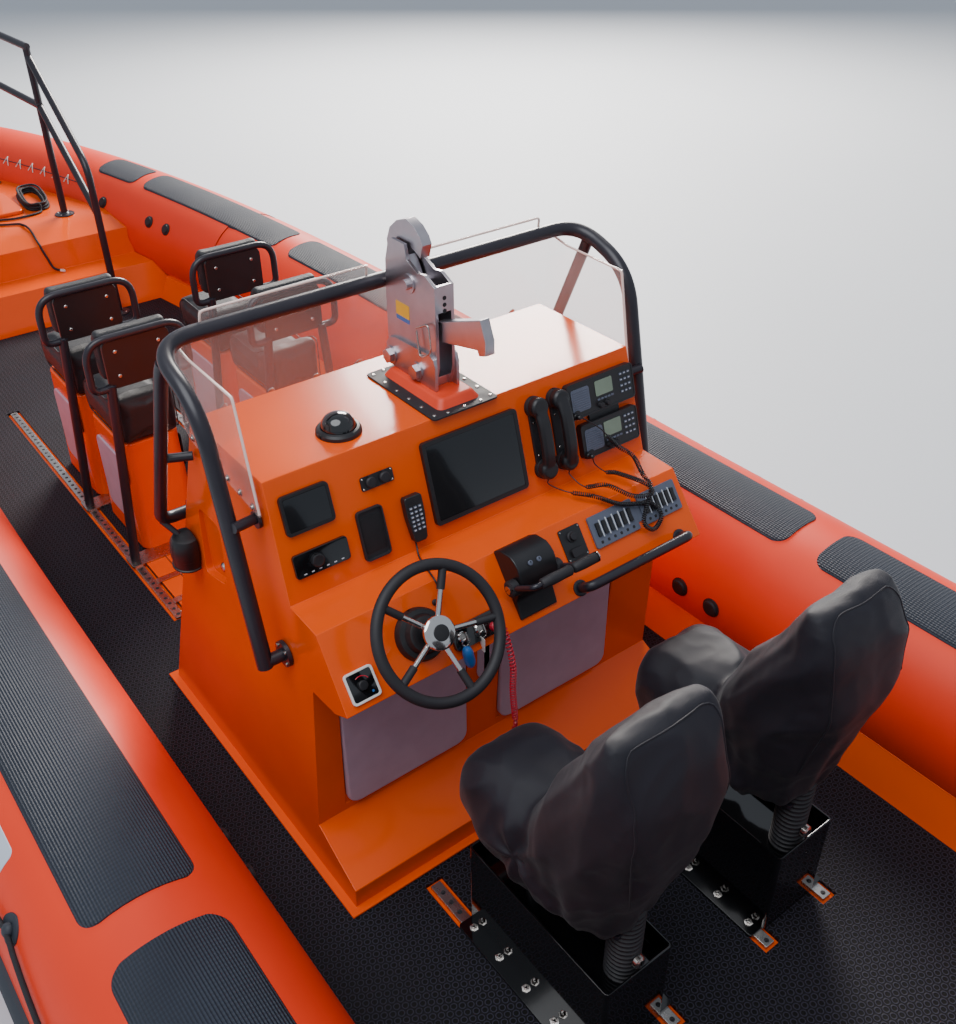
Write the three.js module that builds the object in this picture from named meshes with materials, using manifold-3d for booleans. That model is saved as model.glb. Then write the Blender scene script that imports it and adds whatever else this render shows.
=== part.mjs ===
// Inshore rescue boat: deep-V hull, inflatable collar, jockey seats, helm console and twin outboards.
// Millimetres. +X is the bow, +Y is port, +Z is up. The origin is on the waterline, on the centreline,
// under the lifting hook. Heights named "above the deck" are measured from the top of the deck mat.
import * as THREE from "three";
import { mergeVertices } from "three/addons/utils/BufferGeometryUtils.js";
import Module from "manifold-3d";

const wasm = await Module();
wasm.setup();

// Driving dimensions
const SEAM = 0.3; // running gap between touching pieces
const DECK = 200; // top of the deck mat above the waterline
const MAT = 12; // deck mat thickness
const FLOOR = DECK - MAT - SEAM; // moulded deck that the mat lies on
const TRANSOM_X = -2920;
const TRANSOM_TOP = 300;
const COLLAR_END_X = -2950;
const CONE_TIP_X = -3145;
const TUBE_R = 305;
const TUBE_Z = DECK + 235; // collar centre height amidships
const TUBE_SIDES = 20;
const BOW_RISE = 150; // how far the collar centre climbs towards the bow
const COLLAR_SEAM_X = 3400;
const SEAT_Y = 330; // forward seats, off the centreline
const SEAT_X = [1940, 1420]; // aft faces of the front and rear pods
const HELM_SEAT_Y = 312;
const CONSOLE_HALF = 665; // at the deck
const CONSOLE_TOP = DECK + 1262;
const FOREDECK_TOP = DECK + 430;
const FOREDECK_X = 3930; // foot of the step up to the foredeck
const ENGINE_Y = 350;
const TILT_AXIS = [TRANSOM_X - 60, 350]; // x, z
const SWIVEL_X = TRANSOM_X - 170;
const PROP_Z = -500;

// Materials
const FINISH = {
  collar: [0xd8452b, 0.55, 0],
  orange: [0xe0651a, 0.25, 0],
  mat: [0x1e1b24, 0.9, 0],
  tube: [0x23202a, 0.35, 0.2],
  vinyl: [0x24242a, 0.7, 0],
  steel: [0xa08c86, 0.3, 1],
  plastic: [0x1c1c20, 0.5, 0],
  gloss: [0x101012, 0.12, 0],
  cover: [0x2a2830, 0.8, 0],
  acrylic: [0xf2d8d0, 0.05, 0],
  cord: [0x18181c, 0.7, 0],
  kill: [0xc01e3c, 0.5, 0],
  engine: [0x2c2e33, 0.3, 0.1],
};

// Solids: each helper gives a closed manifold solid.
function solidOf(geometry) {
  const plain = geometry.index ? geometry.toNonIndexed() : geometry.clone();
  plain.deleteAttribute("normal");
  plain.deleteAttribute("uv");
  const merged = mergeVertices(plain, 1e-3);
  return new wasm.Manifold(
    new wasm.Mesh({
      numProp: 3,
      vertProperties: merged.attributes.position.array,
      triVerts: new Uint32Array(merged.index.array),
    }),
  );
}

function join(...solids) {
  return solids.reduce((whole, next) => whole.add(next));
}

function cut(solid, ...tools) {
  return tools.reduce((left, tool) => left.subtract(tool), solid);
}

function block([x0, x1], [y0, y1], [z0, z1]) {
  const box = new THREE.BoxGeometry(x1 - x0, y1 - y0, z1 - z0);
  return solidOf(box.translate((x0 + x1) / 2, (y0 + y1) / 2, (z0 + z1) / 2));
}

function rod(from, to, radius, endRadius = radius, sides = 8) {
  const a = new THREE.Vector3(...from);
  const b = new THREE.Vector3(...to);
  const shaft = new THREE.CylinderGeometry(endRadius, radius, a.distanceTo(b), sides);
  const turn = new THREE.Quaternion().setFromUnitVectors(
    new THREE.Vector3(0, 1, 0),
    b.clone().sub(a).normalize(),
  );
  const middle = a.clone().add(b).multiplyScalar(0.5);
  return solidOf(shaft.applyQuaternion(turn).translate(middle.x, middle.y, middle.z));
}

function outline(points) {
  return new THREE.Shape(points.map(([u, v]) => new THREE.Vector2(u, v)));
}

function roundedRect(width, height, radius, steps = 3) {
  const points = [];
  const corners = [
    [1, 1, 0],
    [-1, 1, 90],
    [-1, -1, 180],
    [1, -1, 270],
  ];
  for (const [sx, sy, start] of corners)
    for (let k = 0; k <= steps; k++) {
      const angle = THREE.MathUtils.degToRad(start + (90 * k) / steps);
      points.push([
        sx * (width / 2 - radius) + radius * Math.cos(angle),
        sy * (height / 2 - radius) + radius * Math.sin(angle),
      ]);
    }
  return points;
}

// A plate: an outline in x and y, from z0 up to z1.
function plate(points, z0, z1, holes = []) {
  const shape = outline(points);
  shape.holes = holes.map((hole) => new THREE.Path(outline(hole).getPoints()));
  const slab = new THREE.ExtrudeGeometry(shape, { depth: z1 - z0, bevelEnabled: false });
  return solidOf(slab.translate(0, 0, z0));
}

// A side profile: an outline in x and z, from y0 to y1.
function profile(points, y0, y1) {
  const slab = new THREE.ExtrudeGeometry(outline(points), {
    depth: y1 - y0,
    bevelEnabled: false,
  });
  return solidOf(slab.rotateX(Math.PI / 2).translate(0, y1, 0));
}

// A closed skin over rings of equal count, with flat ends.
function loft(rings) {
  const count = rings[0].length;
  const points = rings.flat();
  const faces = [];
  for (let r = 0; r + 1 < rings.length; r++)
    for (let k = 0; k < count; k++) {
      const next = (k + 1) % count;
      const a = r * count + k;
      const b = r * count + next;
      faces.push([a, b, a + count], [b, b + count, a + count]);
    }
  const last = (rings.length - 1) * count;
  for (const [base, ring, flip] of [
    [0, rings[0], true],
    [last, rings[rings.length - 1], false],
  ])
    for (const [i, j, k] of capFaces(ring))
      faces.push(flip ? [base + i, base + k, base + j] : [base + i, base + j, base + k]);
  const geometry = new THREE.BufferGeometry();
  const corners = faces.flat().flatMap((index) => points[index]);
  geometry.setAttribute("position", new THREE.Float32BufferAttribute(corners, 3));
  const solid = solidOf(geometry);
  return solid.volume() < 0 ? solidOf(turnedOut(geometry)) : solid;
}

function capFaces(ring) {
  const [a, b] = [new THREE.Vector3(...ring[0]), new THREE.Vector3()];
  const normal = new THREE.Vector3();
  for (let k = 1; k + 1 < ring.length; k++) {
    b.set(...ring[k]).sub(a);
    normal.add(b.clone().cross(new THREE.Vector3(...ring[k + 1]).sub(a)));
  }
  const axis = new THREE.Vector3(0, 0, 1).cross(normal).lengthSq() > 1e-6
    ? new THREE.Vector3(0, 0, 1).cross(normal).normalize()
    : new THREE.Vector3(1, 0, 0);
  const other = normal.clone().normalize().cross(axis);
  const flat = ring.map((p) => {
    const q = new THREE.Vector3(...p);
    return new THREE.Vector2(q.dot(axis), q.dot(other));
  });
  return THREE.ShapeUtils.triangulateShape(flat, []);
}

function turnedOut(geometry) {
  const corners = geometry.attributes.position.array;
  for (let k = 0; k < corners.length; k += 9)
    for (let c = 0; c < 3; c++)
      [corners[k + 3 + c], corners[k + 6 + c]] = [corners[k + 6 + c], corners[k + 3 + c]];
  return geometry;
}

// A path that passes exactly through its points, so that straight runs stay light.
class Route extends THREE.Curve {
  constructor(points) {
    super();
    this.points = points.map((p) => new THREE.Vector3(...p));
  }
  getPointAt(u, target = new THREE.Vector3()) {
    const at = u * (this.points.length - 1);
    const k = Math.min(Math.floor(at + 1e-9), this.points.length - 2);
    return target.lerpVectors(this.points[k], this.points[k + 1], at - k);
  }
  getPoint(u, target) {
    return this.getPointAt(u, target);
  }
  getTangentAt(u, target = new THREE.Vector3()) {
    const k = Math.round(u * (this.points.length - 1));
    const before = this.points[Math.max(k - 1, 0)];
    const after = this.points[Math.min(k + 1, this.points.length - 1)];
    return target.subVectors(after, before).normalize();
  }
}

// Corners of a bent tube, each rounded by an arc-like bend.
function bent(corners, radius, steps = 4) {
  const points = corners.map((p) => new THREE.Vector3(...p));
  const path = [points[0]];
  for (let k = 1; k + 1 < points.length; k++) {
    const before = points[k - 1].clone().sub(points[k]);
    const after = points[k + 1].clone().sub(points[k]);
    const reach = Math.min(radius, before.length() * 0.45, after.length() * 0.45);
    const start = points[k].clone().addScaledVector(before.normalize(), reach);
    const end = points[k].clone().addScaledVector(after.normalize(), reach);
    const bend = new THREE.QuadraticBezierCurve3(start, points[k], end);
    path.push(...bend.getPoints(steps));
  }
  path.push(points[points.length - 1]);
  return path.map((p) => [p.x, p.y, p.z]);
}

function sweep(points, section) {
  const route = new Route(points);
  return solidOf(
    new THREE.ExtrudeGeometry(outline(section), {
      extrudePath: route,
      steps: points.length - 1,
      bevelEnabled: false,
    }),
  );
}

function circle(radius, sides) {
  return Array.from({ length: sides }, (_, k) => {
    const angle = (2 * Math.PI * k) / sides;
    return [radius * Math.cos(angle), radius * Math.sin(angle)];
  });
}

function tube(points, radius, sides = 8) {
  return sweep(points, circle(radius, sides));
}

function smooth(points, count) {
  const curve = new THREE.CatmullRomCurve3(points.map((p) => new THREE.Vector3(...p)));
  return curve.getSpacedPoints(count).map((p) => [p.x, p.y, p.z]);
}

const mirrorY = (points) => points.map(([x, y, z]) => [x, -y, z]);
const bothSides = (make) => [1, -1].map(make);

// The finished group
const boat = new THREE.Group();

function add(name, solid, finish) {
  const mesh = solid.getMesh();
  const geometry = new THREE.BufferGeometry();
  geometry.setAttribute("position", new THREE.BufferAttribute(mesh.vertProperties, 3));
  geometry.setIndex(new THREE.BufferAttribute(mesh.triVerts, 1));
  const [color, roughness, metalness] = FINISH[finish];
  const material = new THREE.MeshStandardMaterial({ color, roughness, metalness });
  const piece = new THREE.Mesh(geometry, material);
  piece.name = name;
  boat.add(piece);
}

// Collar plan: distance of the tube centre from the centreline at each station, stern to bow.
const COLLAR_PLAN = [
  // x, half breadth
  [COLLAR_END_X, 1220],
  [0, 1220],
  [1500, 1218],
  [2300, 1199],
  [2950, 1158],
  [COLLAR_SEAM_X, 1114],
  [3900, 1044],
  [4400, 950],
  [4850, 841],
  [5250, 718],
  [5600, 586],
  [5900, 450],
  [6120, 318],
  [6280, 190],
  [6370, 80],
  [6400, 0],
  [6425, -70],
];
const TIP_X = 6425; // the plan runs on past the centreline, where the two sides meet

// A quantity that runs straight between the stations of the collar plan
function alongPlan(x, valueAt) {
  const after = Math.max(1, COLLAR_PLAN.findIndex(([station]) => station >= x));
  const [before, next] = [COLLAR_PLAN[after - 1], COLLAR_PLAN[after]];
  const share = (x - before[0]) / (next[0] - before[0]);
  return THREE.MathUtils.lerp(valueAt(before), valueAt(next), share);
}

// Half breadth and height of the collar centre at any station
const collarY = (x) => alongPlan(x, ([, y]) => y);
const tubeHeight = (x) =>
  alongPlan(x, ([station]) => TUBE_Z + BOW_RISE * Math.max(0, station / 6400) ** 2);

// Unit vector square to the collar in plan, pointing outboard on the port side
function outboardAt(x) {
  const before = COLLAR_PLAN.filter(([station]) => station < x - 5).pop() ?? [x - 100, collarY(x)];
  const after = COLLAR_PLAN.find(([station]) => station > x + 5) ?? [x, collarY(x)];
  const along = new THREE.Vector2(after[0] - before[0], after[1] - before[1]).normalize();
  return [-along.y, along.x];
}

// A length of collar between two stations: in the section, u points outboard and v points up.
function collarRun(x0, x1, section, side) {
  const inner = COLLAR_PLAN.map(([x]) => x).filter((x) => x > x0 + 1 && x < x1 - 1);
  const rings = [x0, ...inner, x1].map((x) => {
    const [outX, outY] = outboardAt(x);
    const z = tubeHeight(x);
    return section.map(([u, v]) => [x + u * outX, side * (collarY(x) + u * outY), z + v]);
  });
  return loft(rings);
}

// Both sides of the collar from a station forward, meeting on the centreline
function collarRound(x0, section) {
  const half = (side) => {
    const keep = block([-4000, 8000], side > 0 ? [0, 2000] : [-2000, 0], [-1000, 2000]);
    return collarRun(x0, TIP_X, section, side).intersect(keep);
  };
  return join(half(1), half(-1));
}

const fullSection = circle(TUBE_R, TUBE_SIDES);
const seatSection = circle(TUBE_R + SEAM + 0.6, TUBE_SIDES);

const strakeSection = [
  [TUBE_R - 30, -45],
  [TUBE_R + 8, -45],
  [TUBE_R + 28, -20],
  [TUBE_R + 28, 20],
  [TUBE_R + 8, 45],
  [TUBE_R - 30, 45],
];

// The whole collar a hair larger than it is, to cut its seat in the hull and decks
function collarSeat() {
  return collarRound(CONE_TIP_X - 300, seatSection);
}

function valveCaps(stations, side) {
  return stations.map((x) => {
    const y = side * (collarY(x) - TUBE_R);
    const z = tubeHeight(x);
    return rod([x, y + side * 12, z], [x, y - side * 8, z], 30, 26);
  });
}

function sideCollar(side) {
  const run = (section) => collarRun(COLLAR_END_X, COLLAR_SEAM_X - SEAM / 2, section, side);
  const y = side * collarY(COLLAR_END_X);
  const cone = rod([COLLAR_END_X + 10, y, TUBE_Z], [CONE_TIP_X, y, TUBE_Z], TUBE_R - 4, 120, 20);
  return join(run(fullSection), run(strakeSection), cone, ...valveCaps([-300, -450, 1900], side));
}

function bowCollar() {
  const start = COLLAR_SEAM_X + SEAM / 2;
  return join(collarRound(start, fullSection), collarRound(start, strakeSection));
}

// Hull stations: keel height, chine half breadth and height, flange half breadth and height
const HULL = [
  { x: TRANSOM_X, keel: -430, chineY: 1010, chineZ: -60, flangeY: 1180, flangeZ: 220 },
  { x: 0, keel: -470, chineY: 1010, chineZ: -70, flangeY: 1180, flangeZ: 220 },
  { x: 2200, keel: -470, chineY: 980, chineZ: -30, flangeY: 1160, flangeZ: 230 },
  { x: 3600, keel: -440, chineY: 860, chineZ: 60, flangeY: 1050, flangeZ: 250 },
  { x: 4700, keel: -340, chineY: 610, chineZ: 170, flangeY: 850, flangeZ: 300 },
  { x: 5500, keel: -140, chineY: 350, chineZ: 260, flangeY: 600, flangeZ: 350 },
  { x: 6250, keel: 180, chineY: 110, chineZ: 340, flangeY: 240, flangeZ: 400 },
];
const HULL_TOP = FLOOR - 30; // the hull is solid up to the underside of the deck moulding
const BOW_TOP = DECK + 160; // and rises to this height under the foredeck

function hull(seat) {
  const rings = HULL.map(({ x, keel, chineY, chineZ, flangeY, flangeZ }) => {
    const side = [
      [chineY, chineZ],
      [chineY + 35, chineZ + 4],
      [flangeY, flangeZ],
      [flangeY - 60, Math.max(flangeZ, BOW_TOP)],
    ];
    const port = side.map(([y, z]) => [x, y, z]);
    return [[x, 0, keel], ...port, ...mirrorY(port).reverse()];
  });
  const transom = block([TRANSOM_X, TRANSOM_X + 60], [-1000, 1000], [0, TRANSOM_TOP]);
  const deckSpace = block([TRANSOM_X + 60, FOREDECK_X + 100], [-1500, 1500], [HULL_TOP, 900]);
  const foredeckSpace = block([FOREDECK_X + 50, 7000], [-1500, 1500], [BOW_TOP, 900]);
  const aftTop = block([TRANSOM_X - 10, TRANSOM_X + 70], [-1500, 1500], [TRANSOM_TOP, 900]);
  return cut(join(loft(rings), transom), seat, deckSpace, foredeckSpace, aftTop);
}

// Deck moulding: a floor with sloped coamings that rise to the collar
const COAMING_IN = 345; // from the collar centre to the foot of the coaming
const COAMING_RISE = 125;

function deckEdge(x, inset) {
  return collarY(x) - inset;
}

const DECK_STATIONS = [TRANSOM_X + 61, 0, 1500, 2300, 2950, 3500, FOREDECK_X - SEAM];

function deckPlan(inset) {
  const port = DECK_STATIONS.map((x) => [x, deckEdge(x, inset)]);
  return [...port, ...port.map(([x, y]) => [x, -y]).reverse()].reverse();
}

function deckLiner(seat) {
  const rings = DECK_STATIONS.map((x) => {
    const foot = deckEdge(x, COAMING_IN);
    const port = [
      [x, foot, FLOOR],
      [x, foot + 12, DECK + 6],
      [x, deckEdge(x, 285), DECK + COAMING_RISE],
      [x, deckEdge(x, 230), DECK + COAMING_RISE],
      [x, deckEdge(x, 230), HULL_TOP + SEAM],
    ];
    return [...port, ...mirrorY(port).reverse()];
  });
  const bulkhead = block(
    [TRANSOM_X + 61, TRANSOM_X + 160],
    [-900, 900],
    [HULL_TOP + SEAM, TRANSOM_TOP],
  );
  return cut(join(loft(rings), bulkhead), seat);
}

// Rails that the seats stand on, let into strips left free of mat
const RAIL = { width: 34, height: 14, strip: 60 };
const FORWARD_RAILS = { x: [950, 2990], y: [SEAT_Y - 190, SEAT_Y + 190] };
const HELM_RAILS = { x: [-1560, -640], y: [HELM_SEAT_Y - 125, HELM_SEAT_Y + 125] };

function strips({ x, y }) {
  return y.map((centre) => {
    const [y0, y1] = [centre - RAIL.strip / 2, centre + RAIL.strip / 2];
    return [
      [x[0] - 10, y0],
      [x[1] + 10, y0],
      [x[1] + 10, y1],
      [x[0] - 10, y1],
    ];
  });
}

function deckMat() {
  const flip = (points) => points.map(([x, y]) => [x, -y]);
  const port = [...strips(FORWARD_RAILS), ...strips(HELM_RAILS)];
  const consoleSpace = [
    [-572, -668],
    [652, -668],
    [652, 668],
    [-572, 668],
  ];
  const plan = deckPlan(COAMING_IN + 4).map(([x, y]) => [
    Math.min(Math.max(x, TRANSOM_X + 162), 3925),
    y,
  ]);
  return plate(plan, DECK - MAT, DECK, [...port, ...port.map(flip), consoleSpace]);
}

// Foredeck moulding: side profile, lowest step first
const FOREDECK_FRONT = 6150;
const FOREDECK = [
  [FOREDECK_X, HULL_TOP + SEAM],
  [FOREDECK_X, DECK + 20],
  [4030, DECK + 205],
  [4220, DECK + 215],
  [4255, DECK + 370],
  [4490, FOREDECK_TOP],
  [FOREDECK_FRONT, FOREDECK_TOP],
  [FOREDECK_FRONT, BOW_TOP + SEAM],
  [FOREDECK_X + 100 - SEAM, BOW_TOP + SEAM],
  [FOREDECK_X + 100 - SEAM, HULL_TOP + SEAM],
];
const HATCH = { x: 4950, length: 460, width: 420, thick: 24 };

function foredeck(seat) {
  const stations = [FOREDECK_X - 5, 4400, 4850, 5250, 5600, 5900, FOREDECK_FRONT];
  const port = stations.map((x) => [x, collarY(x) - 150]);
  const plan = [...port, ...port.map(([x, y]) => [x, -y]).reverse()].reverse();
  return cut(profile(FOREDECK, -1100, 1100).intersect(plate(plan, 0, 900)), seat);
}

function foredeckHatch() {
  const { x, length, width, thick } = HATCH;
  const lid = roundedRect(length, width, 50).map(([a, b]) => [x + a, b]);
  return plate(lid, FOREDECK_TOP + SEAM, FOREDECK_TOP + SEAM + thick);
}

// Bow rail: top and middle rails on posts, all of one tube size
const BOW_TUBE = 21;
const BOW_POST = { x: 4550, y: 400, top: DECK + 1420, mid: DECK + 1090 };

function bowRail() {
  const { x, y, top, mid } = BOW_POST;
  const foot = FOREDECK_TOP + SEAM;
  const side = (s) => [
    rod([x, s * y, foot], [x, s * y, top], BOW_TUBE, BOW_TUBE, 8),
    tube(
      bent([[x - 4, s * y, top - 60], [3900, s * y, DECK + 880], [3870, s * y, DECK + 6]], 90, 3),
      BOW_TUBE,
    ),
    rod([x, s * y, mid], [3890, s * y, DECK + 610], BOW_TUBE, BOW_TUBE, 8),
    rod([x, s * y, foot], [x, s * y, foot + 10], 60),
    rod([3870, s * y, DECK + SEAM], [3870, s * y, DECK + 10], 60),
    rod([5480, s * 226, foot], [5480, s * 226, top + 80], BOW_TUBE, BOW_TUBE, 8),
    rod([5480, s * 226, foot], [5480, s * 226, foot + 10], 60),
  ];
  const loop = (z, rise) =>
    tube(
      bent(
        [
          [x - 20, y, z],
          [5500, y * 0.55, z + rise],
          [5750, 0.3 * y, z + rise + 15],
          [5750, -0.3 * y, z + rise + 15],
          [5500, -y * 0.55, z + rise],
          [x - 20, -y, z],
        ],
        160,
        3,
      ),
      BOW_TUBE,
    );
  return join(...bothSides(side).flat(), loop(top, 90), loop(mid, 110));
}

// Forward jockey seats
const POD = { width: 236, foot: 256, length: 390, height: 510 };
const HOOP = { half: 195, z: [DECK + 792, DECK + 990], r: 14 };
const LEG_R = 19;

function seatPod(x, y) {
  const { width, foot, length, height } = POD;
  const low = DECK + SEAM;
  const ring = (z, half, x0, x1) => [
    [x0, y - half, z],
    [x1, y - half, z],
    [x1, y + half, z],
    [x0, y + half, z],
  ];
  const shell = loft([
    ring(low, foot / 2, x, x + length + 40),
    ring(DECK + height, width / 2, x + 15, x + length),
  ]);

  const pad = bothSides((s) =>
    block([x + 70, x + length - 40], [y + s * 122 - 8, y + s * 122 + 8], [DECK + 90, DECK + 430]),
  );
  return join(shell, ...pad);
}

function saddle(x, y) {
  const z = DECK + POD.height + SEAM;
  const side = [
    [x - 5, z],
    [x + POD.length + 5, z],
    [x + POD.length + 30, z + 120],
    [x + POD.length - 40, z + 175],
    [x + 140, z + 165],
    [x + 40, z + 225],
    [x - 5, z + 215],
  ];
  return profile(side, y - 125, y + 125);
}

function backrest(x, y) {
  const side = [
    [x - 10.7, DECK + 803],
    [x + 70, DECK + 803],
    [x + 70, DECK + 985],
    [x + 45, DECK + 1018],
    [x - 10.7, DECK + 1018],
  ];
  return profile(side, y - 150, y + 150);
}

function seatFrames(side) {
  const [x0, x1] = FORWARD_RAILS.x;
  const rails = FORWARD_RAILS.y.map((y) =>
    block(
      [x0, x1],
      [side * y - RAIL.width / 2, side * y + RAIL.width / 2],
      [FLOOR + SEAM, FLOOR + SEAM + RAIL.height],
    ),
  );
  const y = side * SEAT_Y;
  const frames = SEAT_X.flatMap((x) => {
    const at = x - 26;
    const hoop = bent(
      [
        [at, y - 120, HOOP.z[0]],
        [at, y - HOOP.half, HOOP.z[0]],
        [at, y - HOOP.half, HOOP.z[1]],
        [at, y + HOOP.half, HOOP.z[1]],
        [at, y + HOOP.half, HOOP.z[0]],
        [at, y + 120, HOOP.z[0]],
      ],
      100,
      3,
    );
    const legs = bothSides((s) =>
      rod([at, y + s * 188, DECK + 8], [at, y + s * 125, HOOP.z[0] + 10], LEG_R, LEG_R, 8),
    );
    const board = block([at - 4, at + 15], [y - 130, y + 130], [HOOP.z[0] - 5, HOOP.z[1] - 8]);
    const tie = block([at - 45, at + 45], [y - 215, y + 215], [DECK + SEAM, DECK + 10]);
    return [tube(hoop, HOOP.r), ...legs, board, tie, seatPod(x, y)];
  });
  return join(...rails, ...frames);
}

// Helm console: side profile, from the aft foot round the front
const CONSOLE = [
  [-570, DECK + 5],
  [645, DECK + 5],
  [183, CONSOLE_TOP],
  [-222, CONSOLE_TOP],
  [-318, DECK + 940],
  [-447, DECK + 935],
  [-580, DECK + 757],
  [-520, DECK + 725],
  [-405, DECK + 715],
  [-375, DECK + 171],
  [-570, DECK + 76],
];
// How far forward the raked front of the console is at a height above the deck
const FRONT = (above) => 645 - (462 * (above - 5)) / 1257;
const PANEL = { low: [-318, DECK + 940], high: [-222, CONSOLE_TOP] };
const DASH = { low: [-580, DECK + 757], high: [-447, DECK + 935] };

// A face seen edge on in x and z, as a frame: origin low, v up the face, w out of it
function faceFrame({ low, high }) {
  const v = new THREE.Vector3(high[0] - low[0], 0, high[1] - low[1]);
  const length = v.length();
  v.normalize();
  const u = new THREE.Vector3(0, 1, 0);
  const w = new THREE.Vector3().crossVectors(v, u).normalize();
  if (w.x > 0) w.negate();
  return { u, v, w, length, origin: new THREE.Vector3(low[0], 0, low[1]) };
}

const panelFace = faceFrame(PANEL);
const dashFace = faceFrame(DASH);

// A point on a face: y across, s up the face and lift out of it
function onFace(face, y, s, lift = 0) {
  const p = face.origin.clone().addScaledVector(face.v, s).addScaledVector(face.w, lift);
  return [p.x, y, p.z];
}

// A plate lying on a face, given by its centre, size and corner radius
function facePlate(face, { y, s, width, height, thick, lift = 0, radius = 6 }) {
  const corners = roundedRect(width, height, radius, 2);
  const rings = [SEAM + lift, SEAM + lift + thick].map((out) =>
    corners.map(([a, b]) => onFace(face, y + a, s + b, out)),
  );
  return loft(rings);
}

function consoleBody() {
  const wide = profile(CONSOLE, -CONSOLE_HALF, CONSOLE_HALF);
  const trims = bothSides((s) => {
    const ring = (z, y) => [
      [-900, s * y, z],
      [900, s * y, z],
      [900, s * 900, z],
      [-900, s * 900, z],
    ];
    return loft([ring(DECK - 50, CONSOLE_HALF + 2), ring(DECK + 1350, 610)]);
  });
  const flange = plate(
    [
      [-595, -690],
      [670, -690],
      [670, 690],
      [-595, 690],
    ],
    DECK + SEAM,
    DECK + 8,
  );
  const kneePads = [
    [130, 560],
    [-450, 0],
  ].map(([y0, y1]) => block([-414, -370], [y0, y1], [DECK + 200, DECK + 700]));
  return join(cut(wide, ...trims), flange, ...kneePads);
}

// Windscreen: one clear bent panel, standing on the console top edge and lapping its sides
function windscreen() {
  const thick = 8;
  const front = [
    [189.7, DECK + 1245],
    [189.7 + thick, DECK + 1245],
    [142 + thick, DECK + 1500],
    [142, DECK + 1500],
  ];
  const fairing = [
    [142, DECK + 1498],
    [142 + thick, DECK + 1498],
    [126 + thick, DECK + 1575],
    [126, DECK + 1575],
  ];
  const side = [
    [150, DECK + 1215],
    [-225, DECK + 1170],
    [-165, DECK + 1480],
    [80, DECK + 1485],
    [146, DECK + 1498],
    [196, DECK + 1250],
  ];
  const sides = bothSides((s) => profile(side, s > 0 ? 626 : -634, s > 0 ? 634 : -626));
  return join(profile(front, -632, 632), profile(fairing, 60, 560), ...sides);
}

// Tube frame round the console
const FRAME_R = 22;

function consoleFrame() {
  const y = 700;
  const bar = tube(
    bent(
      [
        [-275, y, DECK + 745],
        [-262, y, DECK + 810],
        [-120, y, DECK + 1450],
        [113, y, DECK + 1530],
        [113, -y, DECK + 1530],
        [-120, -y, DECK + 1450],
        [-262, -y, DECK + 810],
        [-275, -y, DECK + 745],
      ],
      110,
      3,
    ),
    FRAME_R,
  );
  const railFoot = [
    [FRONT(800) + 0.4, DECK + 800],
    [FRONT(800) + 10, DECK + 804],
    [FRONT(930) + 10, DECK + 934],
    [FRONT(930) + 0.4, DECK + 930],
  ];
  const side = (s) => [
    rod([-275, s * (y + 8), DECK + 760], [-275, s * 640, DECK + 760], 18),
    rod([-275, s * 648, DECK + 760], [-275, s * 636.2, DECK + 760], 38),
    rod([-212, s * y, DECK + 1158], [-190, s * 624, DECK + 1147], 14),
    rod([-190, s * 631, DECK + 1142], [-190, s * 621, DECK + 1142], 24, 24, 12),
    tube(
      bent(
        [
          [60, s * y, DECK + 1500],
          [75, s * (y + 4), DECK + 1470],
          [333, s * (y + 4), DECK + 880],
          [354, s * 600, DECK + 866],
        ],
        50,
        3,
      ),
      19,
    ),
    profile(railFoot, s > 0 ? 575 : -625, s > 0 ? 625 : -575),
    rod([217, s * (y + 4), DECK + 1150], [180, s * 625, DECK + 1150], 13),
    sideLight(s),
  ];
  return join(bar, ...bothSides(side).flat());
}

// A hooded side light against the side of the console, tied to the front grab rail
function sideLight(s) {
  const hood = rod([293, s * 658, DECK + 730], [280, s * 658, DECK + 842], 50, 46, 14);
  const wall = block([150, 450], s > 0 ? [500, 637] : [-637, -500], [DECK + 700, DECK + 900]);
  const tie = rod([333, s * 702, DECK + 880], [292, s * 668, DECK + 832], 9);
  return join(cut(hood, wall), tie);
}

// Single-point lifting hook
const HOOK = { plate: 10, gap: 21 };
const HOOK_FOOT = CONSOLE_TOP + 30 + 2 * SEAM;

function hookGasket() {
  const z = CONSOLE_TOP + SEAM;
  const centre = [-70, 0];
  const shift = (points) => points.map(([x, y]) => [x + centre[0], y + centre[1]]);
  const frame = plate(shift(roundedRect(340, 220, 8)), z, z + 6);
  const boot = loft([
    shift(roundedRect(290, 150, 20)).map(([x, y]) => [x, y, z]),
    shift(roundedRect(250, 110, 20)).map(([x, y]) => [x, y, z + 30]),
  ]);
  return join(frame, boot);
}

const LEVER_PIN = [-120, HOOK_FOOT + 165];

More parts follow.
